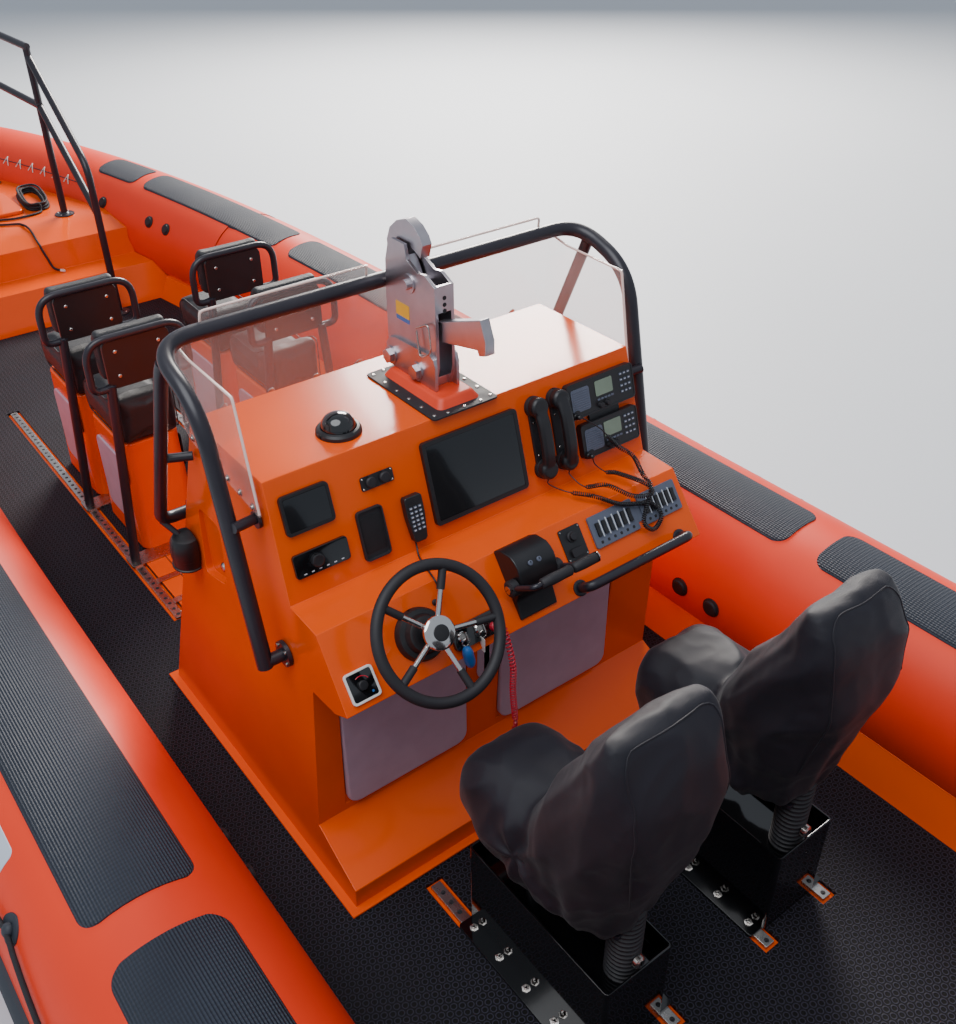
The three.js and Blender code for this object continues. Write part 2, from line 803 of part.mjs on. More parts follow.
function hookBody() {
  const z = HOOK_FOOT;
  const [pinX, pinZ] = LEVER_PIN;
  const cheek = [
    [89, z],
    [89, z + 200],
    [83, z + 306],
    [65, z + 363],
    [48, z + 375],
    [-12, z + 375],
    [-22, z + 334],
    [-71, z + 312],
    [-102, z + 316],
    [-147, z + 295],
    [-147, z + 60],
    [-130, z],
  ];
  const blade = [
    [61, z + 10],
    [84, z + 100],
    [89, z + 300],
    [95, z + 355],
    [78, z + 393],
    [43, z + 421],
    [-2, z + 437],
    [-39, z + 425],
    [-65, z + 404],
    [-76, z + 384],
    [-64, z + 347],
    [-48, z + 356],
    [-19, z + 366],
    [-1, z + 338],
    [-29, z + 290],
    [-74, z + 180],
    [-74, z + 10],
  ];
  const shoe = [
    [86, z],
    [86, z + 60],
    [70, z + 85],
    [36, z + 93],
    [-126, z + 101],
    [-145, z + 92],
    [-152, z + 71],
    [-152, z],
  ];
  const { gap, plate: thick } = HOOK;
  const pair = (points, inner) =>
    bothSides((s) => {
      const [y0, y1] = s > 0 ? [inner, inner + thick] : [-inner - thick, -inner];
      return profile(points, y0, y1);
    });
  const backPlate = block([-147, -139], [-gap - 2, gap + 2], [z + 222, z + 297]);
  const bolts = [
    [63, z + 30],
    [-66, z + 30],
  ].map(([x, h]) => rod([x, 58, h], [x, -58, h], 22, 22, 6));
  const crossPin = rod([-29, 48, z + 271], [-29, -48, z + 271], 15, 15, 10);
  const pin = rod([pinX, gap + thick, pinZ], [pinX, -gap - thick, pinZ], 9);
  const plates = [profile(blade, -15, 15), ...pair(cheek, gap), ...pair(shoe, gap + thick), backPlate];
  return join(...plates, ...bolts, crossPin, pin, hookFoot(z));
}

function hookFoot(z) {
  return block([-125, 90], [-31, 31], [z, z + 25]);
}

function hookLever() {
  const [pinX, pinZ] = LEVER_PIN;
  const arm = profile(
    [
      [pinX + 16, pinZ + 14],
      [pinX - 9, pinZ + 27],
      [-319, pinZ + 99],
      [-342, pinZ + 45],
      [-342, pinZ + 7],
      [-314, pinZ - 3],
      [-305, pinZ + 11],
      [pinX - 32, pinZ - 25],
      [pinX + 16, pinZ - 15],
    ],
    -15,
    15,
  );
  return cut(arm, rod([pinX, 40, pinZ], [pinX, -40, pinZ], 10));
}

// Steering wheel on its boss, square to the lower dash
const WHEEL = { y: 367, s: 110, reach: 118, radius: 173, rim: 14, firstSpoke: 117 };

function wheelHub(lift) {
  return onFace(dashFace, WHEEL.y, WHEEL.s, lift);
}

function helmBoss() {
  return join(
    rod(wheelHub(SEAM), wheelHub(22), 72, 68, 20),
    rod(wheelHub(16), wheelHub(46), 54, 44, 16),
    rod(wheelHub(38), wheelHub(WHEEL.reach - 34 - SEAM), 22, 22, 12),
  );
}

function helmWheel() {
  const centre = new THREE.Vector3(...wheelHub(WHEEL.reach));
  const ring = new THREE.TorusGeometry(WHEEL.radius, WHEEL.rim, 6, 24);
  const turn = new THREE.Quaternion().setFromUnitVectors(new THREE.Vector3(0, 0, 1), dashFace.w);
  ring.applyQuaternion(turn).translate(centre.x, centre.y, centre.z);
  const spokes = Array.from({ length: 5 }, (_, k) => {
    const angle = THREE.MathUtils.degToRad(WHEEL.firstSpoke + 72 * k);
    const out = dashFace.v
      .clone()
      .multiplyScalar(Math.sin(angle))
      .addScaledVector(dashFace.u, Math.cos(angle));
    const tip = centre.clone().addScaledVector(out, WHEEL.radius - 3);
    const root = centre.clone().addScaledVector(dashFace.w, -14);
    return rod(root.toArray(), tip.toArray(), 8, 8, 8);
  });
  const hub = rod(wheelHub(WHEEL.reach - 34), wheelHub(WHEEL.reach + 8), 34, 34, 16);
  return join(solidOf(ring), hub, ...spokes);
}

// Twin engine levers: a housing on the dash, a hub on each side, and two grips end to end
const HOUSING = [
  // up the dash, out of it
  [20, SEAM],
  [20, 8],
  [70, 18],
  [95, 50],
  [125, 78],
  [165, 88],
  [200, 72],
  [222, 35],
  [225, SEAM],
];
const LEVER = { hub: [118, 50], grip: [112, 160] }; // up the dash, out of it

function throttle() {
  const side = (y) => HOUSING.map(([s, lift]) => onFace(dashFace, y, s, lift));
  const hubAt = (y) => onFace(dashFace, y, ...LEVER.hub);
  const gripAt = (y) => onFace(dashFace, y, ...LEVER.grip);
  const levers = [rod(hubAt(90), gripAt(60), 9), rod(hubAt(-74), gripAt(-74), 9)];
  const grips = [rod(gripAt(66), gripAt(-40), 15, 15, 10), rod(gripAt(-44), gripAt(-130), 15, 15, 10)];
  const hub = rod(hubAt(100), hubAt(-84), 24, 24, 12);
  const link = rod(gripAt(-30), gripAt(-60), 10);
  return join(loft([side(72), side(-58)]), hub, ...levers, ...grips, link);
}

function dashGrabRail() {
  const path = bent(
    [
      onFace(dashFace, -150, 24, SEAM),
      onFace(dashFace, -150, 24, 52),
      onFace(dashFace, -552, 24, 52),
      onFace(dashFace, -552, 24, SEAM),
    ],
    50,
    3,
  );
  return tube(path, 15);
}

function compass() {
  const dome = [
    // radius, height
    [0, 0],
    [62, 0],
    [60, 10],
    [50, 16],
    [48, 30],
    [34, 46],
    [0, 54],
  ];
  const shape = new THREE.LatheGeometry(dome.map(([r, h]) => new THREE.Vector2(r, h)), 16);
  return solidOf(shape.rotateX(Math.PI / 2).translate(-123, 334, CONSOLE_TOP + SEAM));
}

// Instruments on the upper panel: y and s are the centre, s measured up the face
const PANEL_STRETCH = panelFace.length / (PANEL.high[1] - PANEL.low[1]);
const panelS = (above) => (DECK + above - PANEL.low[1]) * PANEL_STRETCH;

function displayMain() {
  return facePlate(panelFace, { y: 0, s: panelS(1098), width: 325, height: 240, thick: 14 });
}

function displaySmall() {
  return facePlate(panelFace, { y: 518, s: panelS(1163), width: 140, height: 108, thick: 12 });
}

function stereo() {
  return facePlate(panelFace, { y: 512, s: panelS(1031), width: 160, height: 66, thick: 10 });
}

const RADIO_THICK = 22;

// Two radios, one over the other, and the plate between them
function radios() {
  const plates = [
    { y: -475, s: panelS(1168), width: 262, height: 108, thick: RADIO_THICK },
    { y: -488, s: panelS(1043), width: 228, height: 106, thick: RADIO_THICK },
    { y: -485, s: panelS(1105), width: 120, height: 60, thick: 8 },
  ];
  return join(...plates.map((size) => facePlate(panelFace, size)));
}

const HANDSET_S = panelS(1105);
const CURL_R = 8; // outer radius of a coiled cord

function handset(y, lean) {
  const s = HANDSET_S;
  const cradle = facePlate(panelFace, { y, s, width: 46, height: 190, thick: 10, radius: 12 });
  const ends = [95, -95].map((up) =>
    facePlate(panelFace, { y, s: s + up, width: 62, height: 60, thick: 40, radius: 16 }),
  );
  const bar = { y, s, width: 44, height: 220, thick: 22, lift: 24 + lean, radius: 14 };
  return join(cradle, ...ends, facePlate(panelFace, bar));
}

function keypadMic() {
  return facePlate(panelFace, { y: 228, s: panelS(1035), width: 56, height: 132, thick: 30, radius: 14 });
}

function switchPanels() {
  const port = facePlate(dashFace, { y: -338, s: 149, width: 172, height: 96, thick: 8 });
  const starboard = facePlate(dashFace, { y: -524, s: 149, width: 154, height: 94, thick: 8 });
  const bridge = facePlate(dashFace, { y: -435, s: 149, width: 60, height: 60, thick: 4 });
  return join(port, starboard, bridge);
}

// Helm seats: open-topped pedestals on rails, with a sprung post under a covered seat
const PEDESTAL = { x: [-1330, -790], half: 111, height: 315, wall: 6 };
const SEAT_PLATE = DECK + 435; // plate on top of the post that the seat is bolted to

function helmPedestal(side) {
  const y = side * HELM_SEAT_Y;
  const { x, half, height, wall } = PEDESTAL;
  const low = FLOOR + SEAM;
  const rails = HELM_RAILS.y.map((centre) => {
    const mid = side * centre;
    const [y0, y1] = [mid - RAIL.width / 2, mid + RAIL.width / 2];
    return block(HELM_RAILS.x, [y0, y1], [low, low + RAIL.height]);
  });
  const foot = block([x[0] + 5, x[1] - 5], [y - 142, y + 142], [DECK + SEAM, DECK + 10]);
  const well = [y - half + wall, y + half - wall];
  const box = cut(
    block(x, [y - half, y + half], [DECK + 4, DECK + height]),
    block([x[0] + wall, x[1] - wall], well, [DECK + 16, DECK + height + 50]),
  );
  const post = rod([-1275, y, DECK + 10], [-1265, y, SEAT_PLATE], 42, 40, 12);
  const arm = rod([-860, y, DECK + 10], [-1020, y, SEAT_PLATE], 24, 24, 8);
  const top = block([-1290, -950], [y - 55, y + 55], [SEAT_PLATE - 5, SEAT_PLATE + 10]);
  return join(...rails, foot, box, post, arm, top);
}

// Covered helm seat: level sections of the cover, hem first, over the squab and over the backrest
const SQUAB_COVER = [
  // above the deck, aft and fore edge, half width
  [430, -1250, -800, 125],
  [520, -1270, -765, 150],
  [600, -1200, -765, 155],
  [655, -1150, -800, 130],
  [685, -1080, -860, 80],
];
const BACK_COVER = [
  [430, -1290, -1000, 100],
  [580, -1310, -980, 150],
  [720, -1350, -1030, 165],
  [900, -1400, -1140, 165],
  [1020, -1415, -1205, 155],
  [1100, -1400, -1250, 140],
  [1145, -1370, -1285, 100],
];

function seatCover(side) {
  const y = side * HELM_SEAT_Y;
  const bag = (sections) =>
    loft(
      sections.map(([rise, aft, fore, half]) =>
        roundedRect(fore - aft, 2 * half, Math.min(half, (fore - aft) / 2) * 0.8, 2).map(
          ([a, b]) => [(aft + fore) / 2 + a, y + b, DECK + rise],
        ),
      ),
    );
  return cut(join(bag(SQUAB_COVER), bag(BACK_COVER)), gaiterWell(y));
}

// Room under the cover for the plate on top of the post and the arm
function gaiterWell(y) {
  return block([-1330, -940], [y - 60, y + 60], [DECK + 300, SEAT_PLATE + 10 + SEAM]);
}

// Outboards: each stands on a clamp bracket, tilts with its swivel and steers as a whole
const CAVITATION_Z = -300;
const PIN = { tilt: 13, king: 20, shaft: 14 }; // radii of the round pins
const PLAY = 1; // how much wider each bore is
const PIN_SIDES = 16;
const BORE_SIDES = 24;

function clampBracket(y) {
  const side = [
    [TRANSOM_X - SEAM, 60],
    [TRANSOM_X - SEAM, 330],
    [TILT_AXIS[0] + 25, 385],
    [TILT_AXIS[0] - 30, 380],
    [TILT_AXIS[0] - 30, 330],
    [TRANSOM_X - 40, 60],
  ];
  const cheeks = bothSides((s) => profile(side, y + s * 105 - 12, y + s * 105 + 12));
  const tie = block([TRANSOM_X - 30, TRANSOM_X - SEAM], [y - 105, y + 105], [150, 210]);
  const [x, z] = TILT_AXIS;
  const pin = rod([x, y - 100, z], [x, y + 100, z], PIN.tilt, PIN.tilt, PIN_SIDES);
  return join(...cheeks, tie, pin);
}

function swivelBracket(y) {
  const web = [
    [TILT_AXIS[0], 328],
    [TILT_AXIS[0], 372],
    [SWIVEL_X, 400],
    [SWIVEL_X, 40],
    [SWIVEL_X + 55, 290],
  ];
  const [x, z] = TILT_AXIS;
  const body = join(
    profile(web, y - 30, y + 30),
    rod([SWIVEL_X, y, 40], [SWIVEL_X, y, 400], 34, 34, 12),
    rod([x, y - 70, z], [x, y + 70, z], 24, 24, 12),
  );
  const hole = (from, to, pin) => rod(from, to, pin + PLAY, pin + PLAY, BORE_SIDES);
  const tiltBore = hole([x, y - 90, z], [x, y + 90, z], PIN.tilt);
  const kingBore = hole([SWIVEL_X, y, 0], [SWIVEL_X, y, 450], PIN.king);
  return cut(body, tiltBore, kingBore);
}

// Sections of the engine: height, then aft and fore edges from the swivel axis, then half width
const COWL = [
  [500, -390, 80, 170],
  [580, -470, 95, 205],
  [800, -510, 90, 215],
  [980, -480, 60, 200],
  [1070, -390, -20, 150],
  [1090, -330, -70, 110],
];
const LEG = [
  [510, -350, 70, 130],
  [430, -310, -46, 95],
  [200, -260, -46, 70],
  [-200, -250, -60, 50],
  [CAVITATION_Z, -260, -70, 42],
  [PROP_Z + 60, -270, -70, 40],
  [PROP_Z - 60, -260, -60, 40],
  [PROP_Z - 200, -230, -130, 8],
];

function outboard(y) {
  const section = ([z, aft, fore, half]) => {
    const count = 12;
    const middle = SWIVEL_X + (aft + fore) / 2;
    return Array.from({ length: count }, (_, k) => {
      const angle = (2 * Math.PI * (k + 0.5)) / count;
      const pinch = Math.sign(Math.cos(angle)) * Math.abs(Math.cos(angle)) ** 0.7;
      const swell = Math.sign(Math.sin(angle)) * Math.abs(Math.sin(angle)) ** 0.7;
      return [middle + ((fore - aft) / 2) * pinch, y + half * swell, z];
    });
  };
  const cowl = loft(COWL.map(section));
  const leg = loft(LEG.map(section));
  const fin = [
    [-450, -90],
    [-80, -60],
    [-80, 60],
    [-450, 90],
  ].map(([x, across]) => [SWIVEL_X + x, y + across]);
  const along = (from, to, r0, r1) =>
    rod([SWIVEL_X + from, y, PROP_Z], [SWIVEL_X + to, y, PROP_Z], r0, r1, PIN_SIDES);
  const king = rod([SWIVEL_X, y, 20], [SWIVEL_X, y, 440], PIN.king, PIN.king, PIN_SIDES);
  const yokes = [
    [0, 34.5],
    [405.5, 440],
  ].map(([z0, z1]) => block([SWIVEL_X - 90, SWIVEL_X + 30], [y - 50, y + 50], [z0, z1]));
  return join(
    cowl,
    leg,
    plate(fin, CAVITATION_Z, CAVITATION_Z + 10),
    along(30, -80, 14, 58),
    along(-78, -308, 58, 58),
    along(-300, -430, PIN.shaft, PIN.shaft),
    king,
    ...yokes,
  );
}

function propeller(y) {
  const [fore, aft] = [SWIVEL_X - 316, SWIVEL_X - 426];
  const hub = rod([fore, y, PROP_Z], [aft, y, PROP_Z], 50, 40, 15);
  const blades = [0, 120, 240].map((degrees) => {
    const blade = new THREE.BoxGeometry(12, 105, 150);
    blade.rotateZ(0.55).translate((fore + aft) / 2, 0, 105);
    blade.rotateX(THREE.MathUtils.degToRad(degrees));
    return solidOf(blade.translate(0, y, PROP_Z));
  });
  const reach = PIN.shaft + PLAY;
  const bore = rod([fore + 6, y, PROP_Z], [aft - 8, y, PROP_Z], reach, reach, BORE_SIDES);
  return cut(join(hub, ...blades), bore);
}

// Grab line along the outside of the collar, hanging between sewn patches
const LIFELINE = { lean: 58, sag: 7, rope: 7, patch: 9, first: -2700, last: 5100, bay: 780 };

// A point outside the collar: station, degrees from the top and distance from its centre line
function roundCollar(x, degrees, reach) {
  const lean = THREE.MathUtils.degToRad(degrees);
  const [outX, outY] = outboardAt(x);
  const out = reach * Math.sin(lean);
  return [x + out * outX, collarY(x) + out * outY, tubeHeight(x) + reach * Math.cos(lean)];
}

function lifeline(side) {
  const { lean, sag, rope, patch, first, last, bay } = LIFELINE;
  const across = side > 0 ? (points) => points : mirrorY;
  const path = [];
  for (let x = first; x <= last; x += bay / 3) {
    const swing = Math.abs(Math.sin((Math.PI * (x - first)) / bay));
    path.push(roundCollar(x, lean + sag * swing, TUBE_R + patch + rope - 3));
  }
  const patches = [];
  for (let x = first; x <= last; x += bay) {
    const ring = (station) =>
      [
        [lean - 6, TUBE_R + 1.2],
        [lean - 5, TUBE_R + patch],
        [lean + 5, TUBE_R + patch],
        [lean + 6, TUBE_R + 1.2],
      ].map(([degrees, reach]) => roundCollar(station, degrees, reach));
    patches.push(loft([x - 45, x + 45].map((station) => across(ring(station)))));
  }
  return join(tube(across(path), rope), ...patches);
}

// Cords. Each starts and ends square to what it is fitted to.
// Route of each handset's cord: out of its foot, along the shelf to the hank, and back to its radio
const HANDSET_FOOT = HANDSET_S - 125 - SEAM;
const CORD_INBOARD = [
  onFace(panelFace, -226, HANDSET_FOOT - 15, 24),
  [-372, -258, 1160],
  [-440, -300, 1163],
  onFace(dashFace, -372, 196, 20),
  onFace(dashFace, -440, 172, 20),
  onFace(dashFace, -490, 150, 20),
  onFace(dashFace, -502, 108, 20),
  onFace(dashFace, -455, 84, 22),
  onFace(dashFace, -424, 116, 30),
  onFace(dashFace, -448, 160, 42),
  onFace(dashFace, -488, 205, 42),
  [-455, -486, 1172],
  [-385, -512, 1192],
  onFace(panelFace, -490, 60, 52),
  onFace(panelFace, -462, 98, 44),
  onFace(panelFace, -430, 140, 44),
  onFace(panelFace, -380, 184, 44),
  onFace(panelFace, -360, 196, 34),
];
const CORD_OUTBOARD = [
  onFace(panelFace, -308, HANDSET_FOOT - 15, 24),
  [-384, -318, 1160],
  [-440, -352, 1180],
  onFace(dashFace, -408, 205, 44),
  onFace(dashFace, -460, 188, 64),
  onFace(dashFace, -452, 222, 70),
  [-405, -432, 1172],
  [-366, -420, 1162],
  onFace(panelFace, -400, 34, 34),
  onFace(panelFace, -386, 66, 40),
];

function handsetCord(route, y, [endY, endS]) {
  const start = onFace(panelFace, y, HANDSET_FOOT, 24);
  const end = onFace(panelFace, endY, endS, RADIO_THICK + 2 * SEAM);
  return tube([start, ...smooth(route, 36), end], CURL_R, 6);
}

// The microphone's plain cord runs down the shelf and the dash to a gland beside the wheel
function micCord() {
  const foot = panelS(1035) - 66 - 2 * SEAM;
  const route = [
    onFace(panelFace, 240, foot - 14, 14),
    [-350, 250, 1147],
    [-400, 262, 1145],
    [-452, 272, 1142],
    onFace(dashFace, 272, 200, 8),
    onFace(dashFace, 292, 168, 14),
  ];
  const ends = [onFace(panelFace, 240, foot, 14), onFace(dashFace, 292, 168, SEAM)];
  return tube([ends[0], ...smooth(route, 16), ends[1]], 4);
}

function killCord() {
  const route = [
    onFace(dashFace, 162, 42, 34),
    onFace(dashFace, 162, 36, 60),
    [-652, 166, DECK + 730],
    [-648, 160, DECK + 620],
    [-640, 142, DECK + 470],
  ];
  return tube([onFace(dashFace, 162, 42, 13 + 2 * SEAM), ...smooth(route, 14)], 9);
}

function ignitionPanel() {
  return facePlate(dashFace, { y: 215, s: 55, width: 150, height: 64, thick: 13, radius: 10 });
}

// Hank of mooring rope lying on the foredeck
const ROPE_LIFT = 8.2; // from a surface to the middle of a rope on it
function ropeHank() {
  const [x, y] = [4930, -325];
  const loop = (size) => roundedRect(460 - size, 180 - size, (180 - size) / 2 - 1, 5);
  const place = (points) => points.map(([a, b]) => [x + a, y + b - a * 0.12]);
  return plate(place(loop(0)), FOREDECK_TOP + SEAM, FOREDECK_TOP + 58, [place(loop(110))]);
}

// End of the mooring rope: out of the hank, round the hatch and down the step of the foredeck
function ropeTail() {
  const top = FOREDECK_TOP + ROPE_LIFT;
  const route = [
    [4669, -290, top],
    [4645, -230, top],
    [4640, -120, top],
    [4668, -30, top],
    [4640, 20, top],
    [4580, -10, top],
    [4530, -100, top],
    [4497, -119, top],
    [4458, -132, 633.5],
    [4400, -138, 616.5],
    [4300, -130, 591],
    [4247, -128, 578],
    [4241, -132, 552],
    [4229, -150, 490],
    [4217, -165, 440],
    [4203, -183, 425],
    [4176, -204, 421.5],
    [4160, -214, 421.2],
  ];
  return tube([[4699.4, -297.4, top], [4688, -297.4, top], ...smooth(route, 40)], 7);
}

// Assembly
const seat = collarSeat();
add("hull", hull(seat), "orange");
add("deck_liner", deckLiner(seat), "orange");
add("deck_mat", deckMat(), "mat");
add("collar_port", sideCollar(1), "collar");
add("collar_starboard", sideCollar(-1), "collar");
add("collar_bow", bowCollar(), "collar");
add("foredeck", foredeck(seat), "orange");
add("foredeck_hatch", foredeckHatch(), "orange");
add("bow_rail", bowRail(), "tube");
for (const [sideName, side] of [
  ["port", 1],
  ["starboard", -1],
]) {
  add(`seat_bases_${sideName}`, seatFrames(side), "orange");
  add(`lifeline_${sideName}`, lifeline(side), "cord");
  for (const [k, x] of SEAT_X.entries()) {
    const row = ["front", "rear"][k];
    add(`seat_saddle_${row}_${sideName}`, saddle(x, side * SEAT_Y), "vinyl");
    add(`seat_back_${row}_${sideName}`, backrest(x, side * SEAT_Y), "vinyl");
  }
  add(`helm_pedestal_${sideName}`, helmPedestal(side), "gloss");
  add(`helm_seat_cover_${sideName}`, seatCover(side), "cover");
  add(`engine_clamp_${sideName}`, clampBracket(side * ENGINE_Y), "engine");
  add(`engine_swivel_${sideName}`, swivelBracket(side * ENGINE_Y), "engine");
  add(`outboard_${sideName}`, outboard(side * ENGINE_Y), "engine");
  add(`propeller_${sideName}`, propeller(side * ENGINE_Y), "steel");
}
add("console", consoleBody(), "orange");
add("windscreen", windscreen(), "acrylic");
add("console_frame", consoleFrame(), "tube");
add("hook_gasket", hookGasket(), "plastic");
add("lifting_hook", hookBody(), "steel");
add("hook_lever", hookLever(), "steel");
add("helm_boss", helmBoss(), "plastic");
add("helm_wheel", helmWheel(), "plastic");
add("throttle", throttle(), "plastic");
add("dash_grab_rail", dashGrabRail(), "tube");
add("compass", compass(), "plastic");
add("display_main", displayMain(), "gloss");
add("display_small", displaySmall(), "gloss");
add("stereo", stereo(), "plastic");
add("radios", radios(), "plastic");
add("handset_inboard", handset(-230, 0), "plastic");
add("handset_outboard", handset(-310, 6), "plastic");
add("keypad_mic", keypadMic(), "plastic");
add("switch_panels", switchPanels(), "plastic");
add("ignition_panel", ignitionPanel(), "gloss");
add("kill_cord", killCord(), "kill");
add("handset_cord_inboard", handsetCord(CORD_INBOARD, -226, [-360, 196]), "cord");
add("handset_cord_outboard", handsetCord(CORD_OUTBOARD, -308, [-386, 66]), "cord");
add("mic_cord", micCord(), "cord");
add("rope_hank", ropeHank(), "cord");
add("rope_tail", ropeTail(), "cord");

export default boat;
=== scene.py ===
# %% [markdown]
# # Inshore rescue boat
# A rigid inflatable rescue boat, seen from behind and above its helm: a moulded hull inside a fat
# coated-fabric collar, a helm console with its instruments, covered helm seats and jockey seats.
# The CAD model is loaded first and stays where it is. Everything made here is fitted round it.

# %% Load the frame
import math
import bpy
import numpy as np
from mathutils import Matrix, Vector, noise


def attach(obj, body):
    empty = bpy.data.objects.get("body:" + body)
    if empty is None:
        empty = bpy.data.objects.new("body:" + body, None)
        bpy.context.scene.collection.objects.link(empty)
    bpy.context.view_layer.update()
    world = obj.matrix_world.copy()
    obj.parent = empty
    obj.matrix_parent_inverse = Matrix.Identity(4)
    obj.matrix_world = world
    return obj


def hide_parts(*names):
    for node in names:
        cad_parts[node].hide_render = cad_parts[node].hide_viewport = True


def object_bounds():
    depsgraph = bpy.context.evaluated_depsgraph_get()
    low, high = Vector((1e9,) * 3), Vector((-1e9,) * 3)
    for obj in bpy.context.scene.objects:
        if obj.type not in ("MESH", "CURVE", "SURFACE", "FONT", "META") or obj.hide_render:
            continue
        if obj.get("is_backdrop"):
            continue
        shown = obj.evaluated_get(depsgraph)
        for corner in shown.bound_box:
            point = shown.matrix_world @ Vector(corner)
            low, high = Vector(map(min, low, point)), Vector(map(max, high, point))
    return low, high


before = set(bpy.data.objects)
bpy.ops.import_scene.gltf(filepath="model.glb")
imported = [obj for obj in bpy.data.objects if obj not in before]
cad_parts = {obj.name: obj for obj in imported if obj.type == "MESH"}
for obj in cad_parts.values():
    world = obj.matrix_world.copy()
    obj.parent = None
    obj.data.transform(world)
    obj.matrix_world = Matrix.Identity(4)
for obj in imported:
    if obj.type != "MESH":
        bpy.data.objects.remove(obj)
cad_low, cad_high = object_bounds()
print("nodes", len(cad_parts), "size", [round(x, 3) for x in cad_high - cad_low])

# %% [markdown]
# ## Camera
# The picture was taken from about head height behind the port quarter, looking down at the console.
# Its place, its three axes and its focal length were solved from the tubes, the wheel and the deck.
# Three small functions write a move, a turn and a set of axes as matrices, here and everywhere.

# %% Camera
SIDES = ("port", 1), ("starboard", -1)
GAP = 0.0003  # the air under a piece that is laid on another
QUARTER = math.pi / 2
IMAGE_HEIGHT, FOCAL_PIXELS = 1024, 1051.62


def moved(x, y, z):
    return Matrix.Translation((x, y, z))


def spun(angle, axis):
    return Matrix.Rotation(angle, 4, axis)


def axes(*columns):
    """The turn that takes x, y and z to three given directions."""
    return Matrix(columns).transposed().to_4x4()


def linked(name, data):
    obj = bpy.data.objects.new(name, data)
    bpy.context.scene.collection.objects.link(obj)
    return obj


right, up, back = (-0.60766, -0.79417, -0.00618), (0.44952, -0.35034, 0.8217), (-0.65474, 0.49653, 0.56988)
camera_lens = bpy.data.cameras.new("camera")
camera_lens.sensor_width = 36
camera_lens.lens = camera_lens.sensor_width * FOCAL_PIXELS / IMAGE_HEIGHT
camera_lens.clip_start = 0.05
camera_lens.clip_end = 200
camera = linked("camera", camera_lens)
camera.matrix_world = moved(-2.25, 1.49, 2.86) @ axes(right, up, back)
bpy.context.scene.camera = camera
print("lens", round(camera_lens.lens, 2))

# %% [markdown]
# ## Small tools
# A colour is written as the hex value an eye would pick, and turned to the linear value that a
# shader reads. One function adds a node with its settings and links. A finish is a Principled
# shader whose colour and roughness drift a little over the piece, with a fine bump: nothing that
# was moulded, sprayed or worn by weather is one flat colour.

# %% Colours and nodes
def linear(code):
    parts = [int(code[k:k + 2], 16) / 255 for k in (1, 3, 5)]
    return (*[p / 12.92 if p <= 0.04045 else ((p + 0.055) / 1.055) ** 2.4 for p in parts], 1)


def add_node(tree, kind, inputs=(), **settings):
    new = tree.nodes.new("ShaderNode" + kind)
    for key, value in settings.items():
        setattr(new, key, value)
    for key, value in dict(inputs).items():
        if isinstance(value, bpy.types.NodeSocket):
            tree.links.new(value, new.inputs[key])
        else:
            new.inputs[key].default_value = value
    return new


def new_finish(name, slot, light, dark, rough, blotch, grain, bump, **sockets):
    """A finish: two colours that drift over blotch mm, and a bump of that depth in mm every grain mm."""
    made = bpy.data.materials.new(name)
    made.use_nodes = True
    made["slot"] = slot
    tree = made.node_tree
    shader = tree.nodes["Principled BSDF"]
    for key, value in sockets.items():
        shader.inputs[key.replace("_", " ")].default_value = value
    place = add_node(tree, "TexCoord").outputs["Object"]
    drift = add_node(tree, "TexNoise", {"Vector": place, "Scale": 1000 / blotch, "Detail": 4.0})
    tint = add_node(tree, "MixRGB", {0: drift.outputs["Fac"], 1: linear(dark), 2: linear(light)})
    wear = add_node(tree, "MapRange", {0: drift.outputs["Fac"], 3: rough * 0.82, 4: rough * 1.18})
    fine = add_node(tree, "TexNoise", {"Vector": place, "Scale": 1000 / grain, "Detail": 3.0})
    relief = add_node(tree, "Bump", {"Height": fine.outputs["Fac"], "Distance": bump / 1000})
    tree.links.new(tint.outputs[0], shader.inputs["Base Color"])
    tree.links.new(wear.outputs[0], shader.inputs["Roughness"])
    tree.links.new(relief.outputs[0], shader.inputs["Normal"])
    return made, tree, shader, {"place": place, "tint": tint, "relief": relief}


def coat(*row, **sockets):
    """A finish that needs no further nodes."""
    return new_finish(*row, **sockets)[0]


def calc(tree, kind, operation, *values, out=0):
    """A Math or VectorMath node on those values."""
    return add_node(tree, kind, dict(enumerate(values)), operation=operation).outputs[out]


print("tools ready")

# %% [markdown]
# ## Finishes
# Coated fabric is what the collar is glued from: woven polyester under a satin rubber skin. The
# coat hides nearly all the weave, so it has a soft highlight and a faint cloth texture.
# Gelcoat is the polished polyester skin of the laminate mouldings: hard, very glossy, with the
# slightly wavy reflections that a hand-laid mould leaves.

# %% Collar and mouldings
collar_fabric = coat("coated_fabric", "collar_fabric", "#EC3C16", "#D42E0E", 0.48, 420, 2.2, 0.08,
                     Specular_IOR_Level=0.33)
gelcoat = coat("polished_gelcoat", "orange_moulding", "#E8560A", "#D84804", 0.2, 300, 14, 0.02,
               Coat_Weight=0.12, Coat_Roughness=0.05, Specular_IOR_Level=0.26)
hull_gelcoat = coat("hull_gelcoat", "orange_moulding", "#D64E0C", "#BE4008", 0.22, 500, 20, 0.03,
                    Coat_Weight=0.4, Coat_Roughness=0.1)

# %% [markdown]
# Moulded and sprayed finishes: satin powder coat on the tubes, textured ABS on the instruments,
# gloss polyester powder on the seat pedestals, and the enamel of the engine covers.

